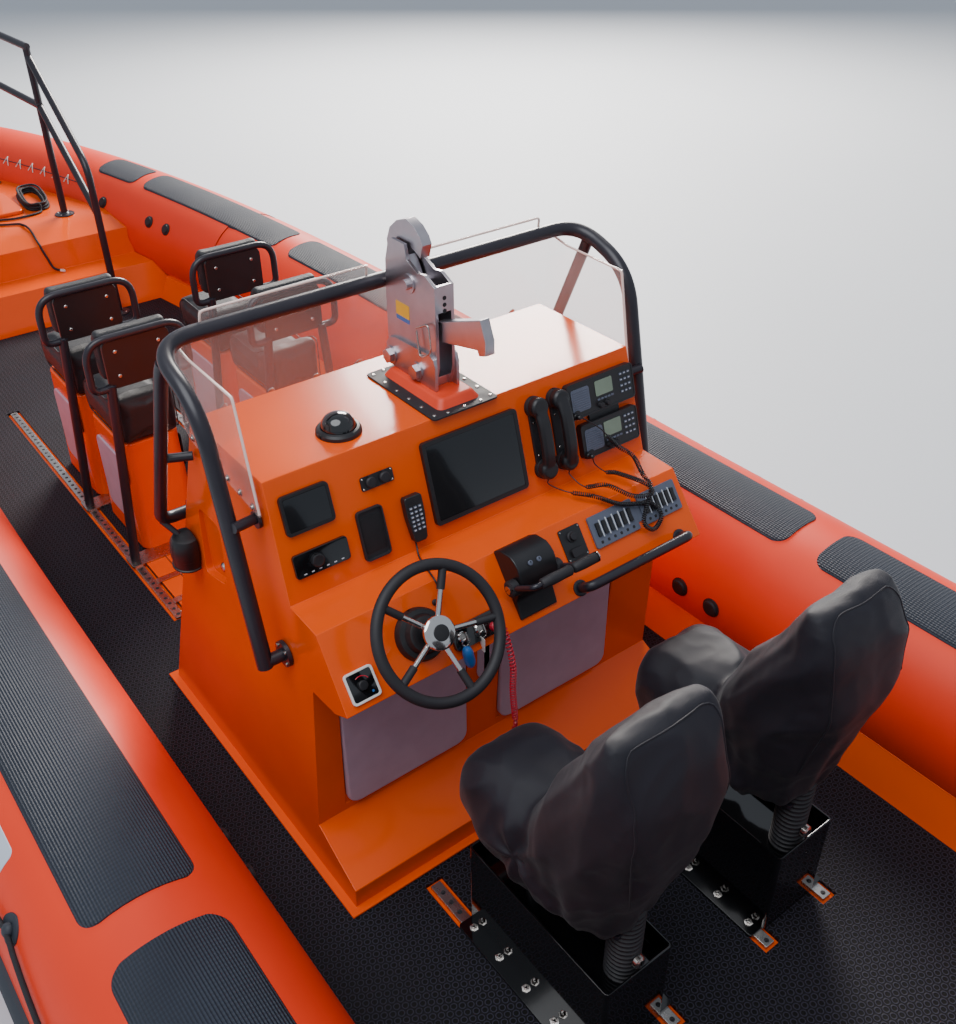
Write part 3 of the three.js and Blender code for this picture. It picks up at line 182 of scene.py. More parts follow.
# %% Plastics and paints
tube_coat = coat("satin_powder_coat", "black_tube", "#2A272F", "#1D1B22", 0.34, 90, 1.6, 0.05, Metallic=0.1)
moulded_abs = coat("moulded_abs", "black_plastic", "#1B1A1D", "#121114", 0.42, 60, 0.9, 0.06)
soft_rubber = coat("moulded_rubber", "black_plastic", "#1F1D22", "#151317", 0.62, 40, 1.2, 0.08)
gloss_powder = coat("gloss_powder_coat", "gloss_black", "#0E0E10", "#08080A", 0.07, 160, 6, 0.012,
                    Coat_Weight=0.5, Coat_Roughness=0.03)
screen_glass = coat("screen_glass", "gloss_black", "#101114", "#0A0B0D", 0.09, 220, 30, 0.004,
                    Coat_Weight=0.6)
display_lcd = coat("lcd_panel", "gloss_black", "#7E8C7A", "#6C7968", 0.25, 50, 4, 0.004)
key_grey = coat("moulded_key", "black_plastic", "#5A6070", "#4C5160", 0.5, 30, 1.0, 0.04)
key_pale = coat("printed_mark", "black_plastic", "#C9CCD2", "#B4B8C0", 0.5, 30, 1.0, 0.01)
engine_enamel = coat("engine_enamel", "engine_paint", "#33363C", "#282A30", 0.24, 200, 9, 0.02, Metallic=0.25,
                     Coat_Weight=0.5, Coat_Roughness=0.08)
foam_pad = coat("closed_cell_foam", "black_vinyl", "#B39DAE", "#9C8898", 0.82, 70, 1.5, 0.18)
blue_float = coat("foam_float", "red_cord", "#1F6FBC", "#185A9E", 0.5, 20, 1.2, 0.05)
white_plastic = coat("white_moulding", "black_plastic", "#E4E2DC", "#CFCCC6", 0.4, 40, 1.2, 0.03)
label_yellow = coat("label_film_yellow", "stainless", "#E8B418", "#D8A410", 0.35, 20, 2, 0.01)
label_blue = coat("label_film_blue", "stainless", "#2F6CB4", "#28609F", 0.35, 20, 2, 0.01)

# %% [markdown]
# Metals: rolled stainless for rails and bolts, polished stainless for the wheel, and the mill
# finish of the lifting hook. A metal keeps the default IOR, and its colour is its reflection.

# %% Metals
stainless = coat("rolled_stainless", "stainless", "#C9C5C0", "#A49E98", 0.27, 35, 0.8, 0.05, Metallic=1.0)
polished_steel = coat("polished_stainless", "stainless", "#D8D6D4", "#BEBBB8", 0.12, 50, 3, 0.01,
                      Metallic=1.0)
hook_steel = coat("blasted_stainless", "stainless", "#CCC6CA", "#A8A2A8", 0.3, 60, 1.4, 0.012, Metallic=1.0)

# %% [markdown]
# The deck mat is a rubber ring mat: a close field of moulded rings, about 23 mm apart, open in the
# middle. The rings are drawn from two square lattices laid into each other, which together
# make the six-sided packing, and the distance to the nearest centre gives hole, ridge and web.
# The holes and the web are painted near-black as shade; the ring crests keep the rubber's colour.

# %% Ring mat
MAT_PITCH = 0.023
ring_mat, tree, shader, parts = new_finish("rubber_ring_mat", "deck_mat", "#343441", "#272731", 0.62, 250, 2,
                                           0.05, Specular_IOR_Level=0.22)
lattice = (MAT_PITCH, MAT_PITCH * math.sqrt(3), 1)
nearest = []
for start in (0.0, 0.5):
    inside = calc(tree, "VectorMath", "DIVIDE", parts["place"], lattice)
    inside = calc(tree, "VectorMath", "ADD", inside, (start, start, 0))
    inside = calc(tree, "VectorMath", "FRACTION", inside)
    inside = calc(tree, "VectorMath", "SUBTRACT", inside, (0.5, 0.5, 0.5))
    inside = calc(tree, "VectorMath", "MULTIPLY", inside, (*lattice[:2], 0))
    nearest.append(calc(tree, "VectorMath", "LENGTH", inside, out="Value"))
distance = calc(tree, "Math", "MINIMUM", *nearest)
hole = add_node(tree, "MapRange", {0: distance, 1: 0.0058, 2: 0.0072}, interpolation_type="SMOOTHSTEP")
outside = add_node(tree, "MapRange", {0: distance, 1: 0.0092, 2: 0.0108, 3: 1.0, 4: 0.12},
                   interpolation_type="SMOOTHSTEP")
height = calc(tree, "Math", "MULTIPLY", hole.outputs[0], outside.outputs[0])
# painted shade: the holes and the web between the rings go near-black, the ring crests keep the rubber's colour
shade = add_node(tree, "MixRGB", {0: height, 1: linear("#010102"), 2: parts["tint"].outputs[0]})
mat_relief = add_node(tree, "Bump", {"Height": height, "Distance": 0.006, "Strength": 1.0})
tree.links.new(shade.outputs[0], shader.inputs["Base Color"])
tree.links.new(mat_relief.outputs[0], shader.inputs["Normal"])
print("ring mat pitch", MAT_PITCH)

# %% [markdown]
# The rub patches are a heavier black fabric with ribs that run along the tube. Their pattern
# follows the patch's own map, laid out in metres: along the tube, then round it. The troughs of
# the ribs and the cross cuts are painted darker as shade; the crests keep the fabric's colour.

# %% Ribbed patches
RIB_PITCH, CUT_PITCH = 0.008, 0.012
ribbed_fabric, tree, shader, parts = new_finish("ribbed_rub_fabric", "collar_fabric", "#343B48", "#242A35",
                                                0.62, 180, 1.6, 0.1, Specular_IOR_Level=0.36)
lengths = add_node(tree, "SeparateXYZ", {0: add_node(tree, "TexCoord").outputs["UV"]})
ridge = calc(tree, "Math", "SINE", calc(tree, "Math", "MULTIPLY", lengths.outputs["Y"],
                                        2 * math.pi / RIB_PITCH))
notch = calc(tree, "Math", "SINE", calc(tree, "Math", "MULTIPLY", lengths.outputs["X"],
                                        2 * math.pi / CUT_PITCH))
weave = calc(tree, "Math", "MULTIPLY_ADD", notch, 0.35, ridge)
rib_relief = add_node(tree, "Bump", {"Height": weave, "Distance": 0.0012})
# painted shade: darker colour in the troughs and cuts, the fabric's own colour on the crests
rib_shade_level = add_node(tree, "MapRange", {0: weave, 1: -1.3, 2: 1.3, 3: 0.35, 4: 1.0})
rib_trough_shade = add_node(tree, "MixRGB", {0: rib_shade_level.outputs[0], 1: linear("#15181E"),
                                     2: parts["tint"].outputs[0]})
tree.links.new(rib_relief.outputs[0], shader.inputs["Normal"])
tree.links.new(rib_trough_shade.outputs[0], shader.inputs["Base Color"])

# %% [markdown]
# Soft finishes: proofed polyester on the seat covers, with a fine plain weave under its coat,
# grained vinyl on the jockey seats, and the braided cover of the ropes.

# %% Cloth and rope
def in_relief(height, distance, over_grain=True):
    """A bump from a pattern, on top of the finish's own grain or in place of it."""
    inputs = {"Height": height, "Distance": distance}
    if over_grain:
        inputs["Normal"] = parts["relief"].outputs[0]
    tree.links.new(add_node(tree, "Bump", inputs).outputs[0], shader.inputs["Normal"])


cover_cloth, tree, shader, parts = new_finish("proofed_polyester", "cover_fabric", "#1B1922", "#111017", 0.52,
                                              160, 1.2, 0.05, Specular_IOR_Level=0.32)
shader.inputs["Sheen Weight"].default_value = 0.06
shader.inputs["Sheen Roughness"].default_value = 0.4
threads = add_node(tree, "TexMagic", {"Vector": parts["place"], "Scale": 700.0, "Distortion": 0.6})
in_relief(threads.outputs["Fac"], 0.0003)

grained_vinyl, tree, shader, parts = new_finish("grained_vinyl", "black_vinyl", "#1F1E23", "#141317", 0.55,
                                                90, 1.2, 0.06)
pores = add_node(tree, "TexVoronoi", {"Vector": parts["place"], "Scale": 420.0})
in_relief(pores.outputs["Distance"], 0.0006)

braided_rope, tree, shader, parts = new_finish("braided_polyester", "black_rope", "#26252B", "#141318", 0.7,
                                               14, 1.2, 0.2)
strands = add_node(tree, "TexWave", {"Vector": parts["place"], "Scale": 95.0, "Distortion": 3.0})
in_relief(strands.outputs["Fac"], 0.0015, over_grain=False)

cord_rubber = coat("cord_jacket", "coiled_cord", "#1E1D21", "#151418", 0.42, 20, 1.0, 0.04)
kill_jacket = coat("polyurethane_jacket", "red_cord", "#D01B38", "#B0142C", 0.25, 25, 2.0, 0.02,
                   Coat_Weight=0.4)
lace_white = coat("white_lacing", "black_rope", "#D8D0C8", "#B8AFA8", 0.7, 12, 0.9, 0.15)

# %% [markdown]
# Cast acrylic is clear and keeps a bright line along its polished edges, which gather the light
# that enters the sheet. The sheet is mostly see-through, under a thin pale veil that is a painted
# reflection; the edge line is a painted highlight in a pale colour.

# %% Acrylic
# painted reflection: the pale pink colour at low alpha lays a veil over the clear sheet
clear_acrylic = coat("cast_acrylic", "clear_acrylic", "#F6E4DE", "#EFD8D0", 0.05, 300, 60, 0.02, Alpha=0.16,
                     Specular_IOR_Level=1.0, Coat_Weight=1.0)
# painted highlight: a pale, nearly opaque finish for the bright line along the edges
edge_highlight_finish = coat("painted_edge_highlight", "clear_acrylic", "#FFE9E0", "#F6D2C4", 0.15, 90, 20, 0.02,
                    Alpha=0.85)
for sheet_finish in (clear_acrylic, edge_highlight_finish):
    sheet_finish.surface_render_method = "BLENDED"
print("finishes", len(bpy.data.materials))

# %% [markdown]
# ## Making and keeping a piece
# Each new piece starts as a primitive that is shaped in edit mode, and ends with its place in its
# mesh, its normals outward, its finish, and the CAD body that it rides on.

# %% Piece helpers
SHARP = 32  # degrees: an edge sharper than this is rounded


def begin():
    if bpy.context.mode != "OBJECT":
        bpy.ops.object.mode_set(mode="OBJECT")
    bpy.ops.object.select_all(action="DESELECT")


def only(obj):
    begin()
    obj.select_set(True)
    bpy.context.view_layer.objects.active = obj
    return obj


def edit(action="SELECT"):
    """Edit mode of the active piece, with all of it selected or nothing."""
    bpy.ops.object.mode_set(mode="EDIT")
    bpy.ops.mesh.select_all(action=action)


def done():
    """Back from edit mode, with the piece."""
    bpy.ops.object.mode_set(mode="OBJECT")
    return bpy.context.object


def facing_out():
    bpy.ops.mesh.normals_make_consistent(inside=False)
    return done()


def apply_modifier(obj, kind, **settings):
    only(obj)
    modifier = obj.modifiers.new(kind.lower(), kind)
    for key, value in settings.items():
        setattr(modifier, key, value)
    bpy.ops.object.modifier_apply(modifier=modifier.name)
    return obj


def joined(pieces):
    """Several pieces of one finish as one mesh."""
    begin()
    for piece in pieces:
        piece.select_set(True)
    bpy.context.view_layer.objects.active = pieces[0]
    if len(pieces) > 1:
        bpy.ops.object.join()
    return bpy.context.object


def clothed(obj, finish):
    obj.data.materials.clear()
    obj.data.materials.append(finish)


def keep(obj, name, finish, at=None, edge=0.0, rounds=2, smooth=32, body="boat", stands_for=()):
    """The last steps for every piece, or list of pieces. edge is the rounding of its edges, in metres."""
    if isinstance(obj, list):
        obj = joined(obj)
    obj.name = obj.data.name = name
    if edge:
        apply_modifier(obj, "BEVEL", width=edge, segments=rounds, limit_method="ANGLE",
                       angle_limit=math.radians(SHARP), harden_normals=False)
    placed(obj, at)
    bpy.ops.object.shade_smooth_by_angle(angle=math.radians(smooth))
    if edge:
        apply_modifier(obj, "WEIGHTED_NORMAL", keep_sharp=True)
    clothed(obj, finish)
    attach(obj, body)
    if stands_for:
        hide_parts(*stands_for)
    return obj


def placed(obj, at=None):
    """The piece with its place in its mesh."""
    only(obj)
    bpy.ops.object.transform_apply(location=True, rotation=True, scale=True)
    if at is not None:
        obj.data.transform(at)
    return obj


def twin(obj):
    """A copy with a mesh of its own."""
    return linked(obj.name, obj.data.copy())


def row_of(obj, places):
    """Copies of one small piece at each place, made one mesh."""
    copies = []
    for place in places:
        each = twin(obj)
        each.data.transform(place if isinstance(place, Matrix) else moved(*place))
        copies.append(each)
    bpy.data.objects.remove(obj)
    return joined(copies)


# %% Starting shapes
def rounded(width, height, radius, steps=4):
    """The points of a rectangle with round corners, centred on zero."""
    points = []
    for turn, (a, b) in enumerate([(1, 1), (-1, 1), (-1, -1), (1, -1)]):
        for step in range(steps + 1):
            angle = QUARTER * (turn + step / steps)
            points.append((a * (width / 2 - radius) + radius * math.cos(angle),
                           b * (height / 2 - radius) + radius * math.sin(angle)))
    return points


def drawn_out(points, depth):
    """A flat outline in x and y, drawn out along z in edit mode."""
    begin()
    bpy.ops.mesh.primitive_circle_add(vertices=len(points), fill_type="NGON")
    for vertex, (x, y) in zip(bpy.context.object.data.vertices, points):
        vertex.co = (x, y, 0)
    edit()
    bpy.ops.mesh.extrude_region_move(TRANSFORM_OT_translate={"value": (0, 0, depth)})
    bpy.ops.mesh.select_all(action="SELECT")
    return facing_out()


def plate(width, height, radius, depth, steps=4):
    """A flat piece with round corners."""
    return drawn_out(rounded(width, height, radius, steps), depth)


def turned(rings, sides=32):
    """A round piece along z from rings of (radius, height): a circle extruded ring by ring."""
    begin()
    bpy.ops.mesh.primitive_circle_add(vertices=sides, radius=1, fill_type="NGON")
    obj = bpy.context.object
    base = [vertex.co.copy() for vertex in obj.data.vertices]
    bpy.ops.object.mode_set(mode="EDIT")
    for _ in rings[1:]:
        bpy.ops.mesh.extrude_region_move(TRANSFORM_OT_translate={"value": (0, 0, 0)})
    done()
    for index, vertex in enumerate(obj.data.vertices):
        radius, height = rings[index // sides]
        vertex.co = (base[index % sides].x * radius, base[index % sides].y * radius, height)
    only(obj)
    edit()
    return facing_out()


def torus(radius, thick, around, across):
    begin()
    bpy.ops.mesh.primitive_torus_add(major_radius=radius, minor_radius=thick, major_segments=around,
                                     minor_segments=across)
    return bpy.context.object


def bent(corners, radius, steps=8):
    """A path through corners, each rounded by an arc-like bend, as a tube bender makes it."""
    points = [Vector(p) for p in corners]
    path = [points[0]]
    for before, corner, after in zip(points, points[1:], points[2:]):
        back, on = before - corner, after - corner
        reach = min(radius, back.length * 0.45, on.length * 0.45)
        start, end = corner + back.normalized() * reach, corner + on.normalized() * reach
        for step in range(steps + 1):
            t = step / steps
            path.append(start * (1 - t) ** 2 + corner * 2 * t * (1 - t) + end * t * t)
    return path + [points[-1]]


def round_curve(name, path, radius, resolution):
    """A curve with a round section along a path."""
    curve = bpy.data.curves.new(name, "CURVE")
    curve.dimensions = "3D"
    curve.bevel_depth = radius
    curve.bevel_resolution = resolution
    curve.use_fill_caps = True
    spline = curve.splines.new("POLY")
    spline.points.add(len(path) - 1)
    for point, place in zip(spline.points, path):
        point.co = (*place, 1)
    return linked(name, curve)


def pipe(path, radius, sides=16):
    """A round tube along a path: a curve turned to a mesh."""
    begin()
    only(round_curve("pipe", path, radius, sides // 4))
    bpy.ops.object.convert(target="MESH")
    return bpy.context.object


def rod(start, end, radius, sides=16):
    return pipe([Vector(start), Vector(end)], radius, sides)


def copy_of(node):
    """A copy of a CAD node with its loose triangles merged and its flat faces made whole."""
    begin()
    only(linked(node + "_copy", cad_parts[node].data.copy()))
    edit()
    bpy.ops.mesh.remove_doubles(threshold=0.00005)
    bpy.ops.mesh.dissolve_limited(angle_limit=math.radians(0.6))
    return done()


def dressed(node, finish, edge, rounds=2, body="boat", smooth=32):
    """The CAD node's own shape with rounded edges, standing for it."""
    return keep(copy_of(node), node + "_dressed", finish, edge=edge, rounds=rounds, body=body,
                smooth=smooth, stands_for=[node])


def eased(a, b, c, d, t):
    """A smooth curve from b to c, with a and d before and after them."""
    return 0.5 * (2 * b + (c - a) * t + (2 * a - 5 * b + 4 * c - d) * t * t
                  + (3 * b - a - 3 * c + d) * t ** 3)


print("helpers ready")

# %% [markdown]
# ## Faces of the console
# The instruments lie on two sloping faces. Each face is a frame: x to the helmsman's right, y up
# the face and z out of it, so a piece is made flat and then laid on the face.

# %% Console faces
DECK = 0.2
PANEL_FOOT, CONSOLE_TOP = 1.14, 1.462
PANEL_LENGTH, PANEL_RISE = 0.336, 0.322


def face(low, high):
    up = Vector((high[0] - low[0], 0, high[1] - low[1])).normalized()
    return {"origin": Vector((low[0], 0, low[1])), "up": up, "out": Vector((-up.z, 0, up.x))}


panel = face((-0.318, PANEL_FOOT), (-0.222, CONSOLE_TOP))
dash = face((-0.58, 0.957), (-0.447, 1.135))


def on_face(where, y, s, lift=0.0):
    return where["origin"] + where["up"] * s + where["out"] * lift + Vector((0, y, 0))


def laid(where, y, s, lift=GAP):
    """The matrix that lays a flat piece on a face."""
    return moved(*on_face(where, y, s, lift)) @ axes((0, -1, 0), where["up"], where["out"])


def panel_s(above):
    """How far up the upper panel a height above the deck is."""
    return (DECK + above - PANEL_FOOT) * PANEL_LENGTH / PANEL_RISE


print("panel", panel["out"], "dash", dash["out"])

# %% Flat pieces
def slab(where, y, s, width, height, depth, name, finish, radius=0.006, lift=GAP, edge=0.0012, **more):
    """A plate with round corners lying on a face."""
    return keep(plate(width, height, radius, depth), name, finish, at=laid(where, y, s, lift), edge=edge,
                **more)


def pick(obj, test=lambda polygon: polygon.normal.z > 0.9):
    """Edit mode with only those faces selected that pass the test, or else the top."""
    only(obj)
    bpy.ops.object.mode_set(mode="EDIT")
    bpy.ops.mesh.select_mode(type="FACE")
    bpy.ops.mesh.select_all(action="DESELECT")
    done()
    for polygon in obj.data.polygons:
        polygon.select = test(polygon)
    bpy.ops.object.mode_set(mode="EDIT")


def tray(width, height, depth, radius, rim, drop):
    """A plate whose top is inset and sunk, which leaves a raised rim."""
    pick(plate(width, height, radius, depth))
    bpy.ops.mesh.inset(thickness=rim)
    bpy.ops.mesh.extrude_region_move(TRANSFORM_OT_translate={"value": (0, 0, -drop)})
    return done()


def tapered(obj, x, y):
    """The piece with its top made narrower. It stays in edit mode."""
    pick(obj)
    bpy.ops.transform.resize(value=(x, y, 1))


def screw(radius=0.0035, height=0.002):
    """A small pan-head screw."""
    return turned([(radius, 0), (radius, height * 0.5), (radius * 0.7, height),
                   (radius * 0.3, height * 0.96)], 12)


# %% [markdown]
# ## Floor and light
# The boat floats, so the plain floor lies at its waterline. The light is soft: a pale room, one
# wide low light ahead of the starboard bow, which glances off the collar and the console as the
# low sun does, and a wide fill over the helm.

# %% Floor
floor_paint = coat("pale_studio_floor", None, "#C9CDD2", "#C2C6CB", 0.6, 4000, 40, 0.02)
begin()
bpy.ops.mesh.primitive_plane_add(size=120, location=(0, 0, 0))
studio_floor = bpy.context.object
studio_floor.name = "studio_floor"
studio_floor.data.materials.append(floor_paint)
studio_floor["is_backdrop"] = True

# %% Lights
world = bpy.data.worlds.new("studio")
world.use_nodes = True
room = world.node_tree.nodes["Background"].inputs
room["Color"].default_value = (0.8, 0.88, 1.0, 1)
room["Strength"].default_value = 0.62
bpy.context.scene.world = world


def soft_light(name, place, target, size, power, colour):
    lamp = bpy.data.lights.new(name, "AREA")
    lamp.shape, lamp.size, lamp.energy, lamp.color = "DISK", size, power, colour
    obj = linked(name, lamp)
    obj.location = place
    obj.rotation_euler = (Vector(target) - Vector(place)).to_track_quat("-Z", "Y").to_euler()


soft_light("low_sun", (9.0, -7.5, 6.5), (0, 0, 0.6), 5.0, 3300, (1.0, 0.94, 0.88))
soft_light("overhead", (-1.0, 2.5, 7.0), (0, 0, 0.5), 6.0, 420, (0.95, 0.97, 1.0))
print("lights 2")

# %% [markdown]
# ## Cords
# Each handset hangs on a coiled cord: one thin jacketed wire wound into a spring, with a plain tail
# at each end. The turns are worked out by a loop round the route. Both cords leave the handsets,
# lie along the shelf to a hank over the switches and climb back to their radios. The length of a
# cord is that of the wire itself, all its turns included.

# %% Coiled cords
def smooth_path(points, count):
    """Points spaced evenly along a curve through the given ones, and the curve's length."""
    corners = [Vector(p) for p in points]
    ends = [corners[0] * 2 - corners[1], *corners, corners[-1] * 2 - corners[-2]]
    fine = [eased(*four, step / 24) for four in zip(ends, ends[1:], ends[2:], ends[3:]) for step in range(24)]
    fine.append(corners[-1])
    reach = [0.0]
    for before, after in zip(fine, fine[1:]):
        reach.append(reach[-1] + (after - before).length)
    wanted = np.linspace(0, reach[-1], count)
    spaced = [np.interp(wanted, reach, [p[k] for p in fine]) for k in range(3)]
    return [Vector(p) for p in zip(*spaced)], reach[-1]


def strand(name, path, radius, finish, nodes, **cord):
    """A cord as a curve with a round section, from its path."""
    obj = round_curve(name, path, radius, 2)
    obj.data.splines[0].use_smooth = True
    clothed(obj, finish)
    length = sum((b - a).length for a, b in zip(path, path[1:]))
    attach(obj, "boat")
    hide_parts(*nodes)
    tuple(path[0])
    print(name, round(length, 2), "m")


def route(*stops):
    """The stops of a cord: each (face, y, s, lift), or a plain point."""
    return [on_face(*stop) if len(stop) == 4 else Vector(stop) for stop in stops]


def coiled(stops, outer, wire, pitch, tails):
    """The path of a wire wound round a route, with a plain tail of each length at its ends."""
    per_turn, lead_in = 12, 0.008
    length = smooth_path(stops, 200)[1]
    count = int(length / pitch * per_turn)
    spine = smooth_path(stops, count)[0]
    normal = (spine[1] - spine[0]).orthogonal().normalized()
    helix = []
    for index, point in enumerate(spine):
        ahead = (spine[min(index + 1, count - 1)] - spine[max(index - 1, 0)]).normalized()
        normal = (normal - ahead * normal.dot(ahead)).normalized()
        side = ahead.cross(normal)
        run = index * length / count
        wound = min(run - tails[0], length - run - tails[1]) / lead_in
        reach = (outer - wire) * min(1.0, max(0.0, wound))
        angle = 2 * math.pi * index / per_turn
        helix.append(point + (normal * math.cos(angle) + side * math.sin(angle)) * reach)
    return helix


gland = turned([(0.009, 0), (0.009, 0.004), (0.006, 0.007), (0.006, 0.012), (0.0045, 0.014)], 14)
keep(gland, "mic_cord_gland", soft_rubber, at=laid(dash, 0.292, 0.168), edge=0.0006)
plug = turned([(0.01, 0), (0.01, 0.008), (0.0075, 0.01), (0.007, 0.022), (0.004, 0.026)], 16)
for name, y, s in [("upper", -0.36, 0.196), ("lower", -0.386, 0.066)]:
    keep(twin(plug), f"radio_plug_{name}", moulded_abs, at=laid(panel, y, s, 0.0224), edge=0.0006)
bpy.data.objects.remove(plug)
HANDSET_FOOT = panel_s(1.105) - 0.1253
MIC_FOOT = panel_s(1.035) - 0.0666
inboard_route = route((panel, -0.226, HANDSET_FOOT, 0.024), (panel, -0.226, HANDSET_FOOT - 0.015, 0.024),
                      (-0.372, -0.258, 1.16), (-0.44, -0.3, 1.163), (dash, -0.372, 0.196, 0.02),
                      (dash, -0.44, 0.172, 0.02), (dash, -0.49, 0.15, 0.02), (dash, -0.502, 0.108, 0.02),
                      (dash, -0.455, 0.084, 0.022), (dash, -0.424, 0.116, 0.03), (dash, -0.448, 0.16, 0.042),
                      (dash, -0.488, 0.205, 0.042), (-0.455, -0.486, 1.172), (-0.385, -0.512, 1.192),
                      (panel, -0.49, 0.06, 0.052), (panel, -0.462, 0.098, 0.044), (panel, -0.43, 0.14, 0.044),
                      (panel, -0.38, 0.184, 0.044), (panel, -0.36, 0.196, 0.034),
                      (panel, -0.36, 0.196, 0.0226))
outboard_route = route((panel, -0.308, HANDSET_FOOT, 0.024), (panel, -0.308, HANDSET_FOOT - 0.015, 0.024),
                       (-0.384, -0.318, 1.16), (-0.44, -0.352, 1.18), (dash, -0.408, 0.205, 0.044),
                       (dash, -0.46, 0.188, 0.064), (dash, -0.452, 0.222, 0.07), (-0.405, -0.432, 1.172),
                       (-0.366, -0.42, 1.162), (panel, -0.4, 0.034, 0.034), (panel, -0.386, 0.066, 0.04),
                       (panel, -0.386, 0.066, 0.0226))
for name, stops, tails, plug_at in [("inboard", inboard_route, (0.085, 0.14), "upper"),
                                    ("outboard", outboard_route, (0.075, 0.09), "lower")]:
    strand(f"handset_coil_{name}", coiled(stops, 0.0074, 0.0018, 0.0062, tails), 0.0018, cord_rubber,
           [f"handset_cord_{name}"], far_end="plug", stiffness="limp", lay="loose",
           with_pieces=(f"radio_plug_{plug_at}",))
mic_route = smooth_path(route((panel, 0.24, MIC_FOOT, 0.014), (panel, 0.24, MIC_FOOT - 0.014, 0.014),
                              (-0.35, 0.25, 1.147), (-0.4, 0.262, 1.145), (-0.452, 0.272, 1.142),
                              (dash, 0.272, 0.2, 0.008), (dash, 0.292, 0.168, 0.014),
                              (dash, 0.292, 0.168, GAP)), 90)[0]
strand("mic_lead", mic_route, 0.0026, cord_rubber, ["mic_cord"], far_end="fitting", stiffness="medium",
       lay="loose", with_pieces=("mic_cord_gland",))

# %% [markdown]
# The kill cord clips to the helmsman and stops the engines if they go overboard. It hangs from its
# switch by the wheel, and its free end carries a plastic clip.

# %% Kill cord
kill_route = route((dash, 0.162, 0.042, 0.0136), (dash, 0.162, 0.042, 0.034), (dash, 0.162, 0.036, 0.06),
                   (-0.652, 0.166, DECK + 0.73), (-0.648, 0.16, DECK + 0.62), (-0.64, 0.142, DECK + 0.485))
kill_path = coiled(kill_route, 0.0098, 0.0025, 0.011, (0.02, 0.008))
clip_body = turned([(0.003, 0), (0.0065, 0.003), (0.0065, 0.02), (0.004, 0.026)], 14)
clip_loop = pipe(bent([(0, 0, 0.024), (0.012, 0, 0.03), (0.012, 0, 0.05), (-0.012, 0, 0.05),
                       (-0.012, 0, 0.03), (-0.002, 0, 0.024)], 0.009, 4), 0.0026, 8)
hang = moved(*(kill_route[-1] + Vector((0, 0, 0.004)))) @ spun(math.pi, "X")
keep([clip_body, clip_loop], "kill_cord_clip", kill_jacket, at=hang)
strand("kill_cord_coil", kill_path, 0.0025, kill_jacket, ["kill_cord"], far_end="fitting", stiffness="limp",
       lay="hanging", with_pieces=("kill_cord_clip",))

# %% [markdown]
# ## Collar
# The collar is two long tubes that come together at the bow. Its centre line is a smooth curve
# through the stations of the plan; every ring of the tube stands square to it. A grid primitive is
# wrapped on the tube, and its first and last rows meet and are merged.

# %% Collar line
TUBE_R = 0.305
COLLAR_PLAN = [  # x, half breadth of the tube's centre
    (-2.95, 1.22), (0.0, 1.22), (1.5, 1.218), (2.3, 1.199), (2.95, 1.158), (3.4, 1.114), (3.9, 1.044),
    (4.4, 0.95), (4.85, 0.841), (5.25, 0.718), (5.6, 0.586), (5.9, 0.45), (6.12, 0.318), (6.28, 0.19),
    (6.37, 0.08), (6.4, 0.0),
]


def collar_line(side):
    """Fine points of the centre line with the way outboard at each, stern to bow."""
    both = [Vector((x, y)) for x, y in COLLAR_PLAN] + [Vector((6.37, -0.08)), Vector((6.28, -0.19))]
    fine = []
    for a, b, c, d in zip(both, both[1:], both[2:], both[3:]):
        chord = (c - b).length
        into, out = (c - a).normalized() * chord, (d - b).normalized() * chord
        for t in [step / 6 for step in range(6)]:
            fine.append(b * (2 * t ** 3 - 3 * t * t + 1) + into * (t ** 3 - 2 * t * t + t)
                        + c * (3 * t * t - 2 * t ** 3) + out * (t ** 3 - t * t))
    fine = [both[0]] + [p for p in fine if p.y > -0.001 and p.x > -2.94]
    fine[-1] = Vector((6.4, 0.0))
    line = []
    for index, p in enumerate(fine):
        along = (fine[min(index + 1, len(fine) - 1)] - fine[max(index - 1, 0)]).normalized()
        if index == len(fine) - 1:
            along = Vector((0, -1))
        z = DECK + 0.235 + 0.15 * max(0.0, p.x / 6.4) ** 2
        line.append((Vector((p.x, side * p.y, z)), Vector((-along.y, side * along.x, 0))))
    return line


def on_collar(line, x, degrees, reach):
    """A point round the tube at a station: degrees from the top, outboard positive."""
    stations = [p.x for p, _ in line]
    index = min(max(1, int(np.searchsorted(stations, x))), len(line) - 1)
    share = (x - stations[index - 1]) / (stations[index] - stations[index - 1])
    centre = line[index - 1][0].lerp(line[index][0], share)
    out = line[index - 1][1].lerp(line[index][1], share).normalized()
    angle = math.radians(degrees)
    return centre + out * reach * math.sin(angle) + Vector((0, 0, reach * math.cos(angle)))


def wrapped(columns, rows, where, close=True):
    """A grid primitive laid on a surface: where gives the place of each column and row, from 0 to 1."""
    begin()
    bpy.ops.mesh.primitive_grid_add(x_subdivisions=columns, y_subdivisions=rows, size=1, calc_uvs=True)
    obj = bpy.context.object
    for vertex in obj.data.vertices:
        vertex.co = where(vertex.co.x + 0.5, vertex.co.y + 0.5)
    edit()
    if close:
        bpy.ops.mesh.remove_doubles(threshold=0.0001)
        bpy.ops.mesh.normals_make_consistent(inside=False)
    return done()


collar_lines = {"port": collar_line(1), "starboard": collar_line(-1)}
print("collar points", len(collar_lines["port"]))

# %% Collar tubes
SEAM_X = 3.4
CONE = [(-3.145, 0.001), (-3.145, 0.105), (-3.139, 0.118), (-3.12, 0.137), (-2.965, 0.29), (-2.952, 0.3)]


def tube_rings(line, first, last):
    """Rings of a tube: centre, way outboard and radius."""
    return [(p, out, TUBE_R) for p, out in line if first - 1e-6 <= p.x <= last + 1e-6]


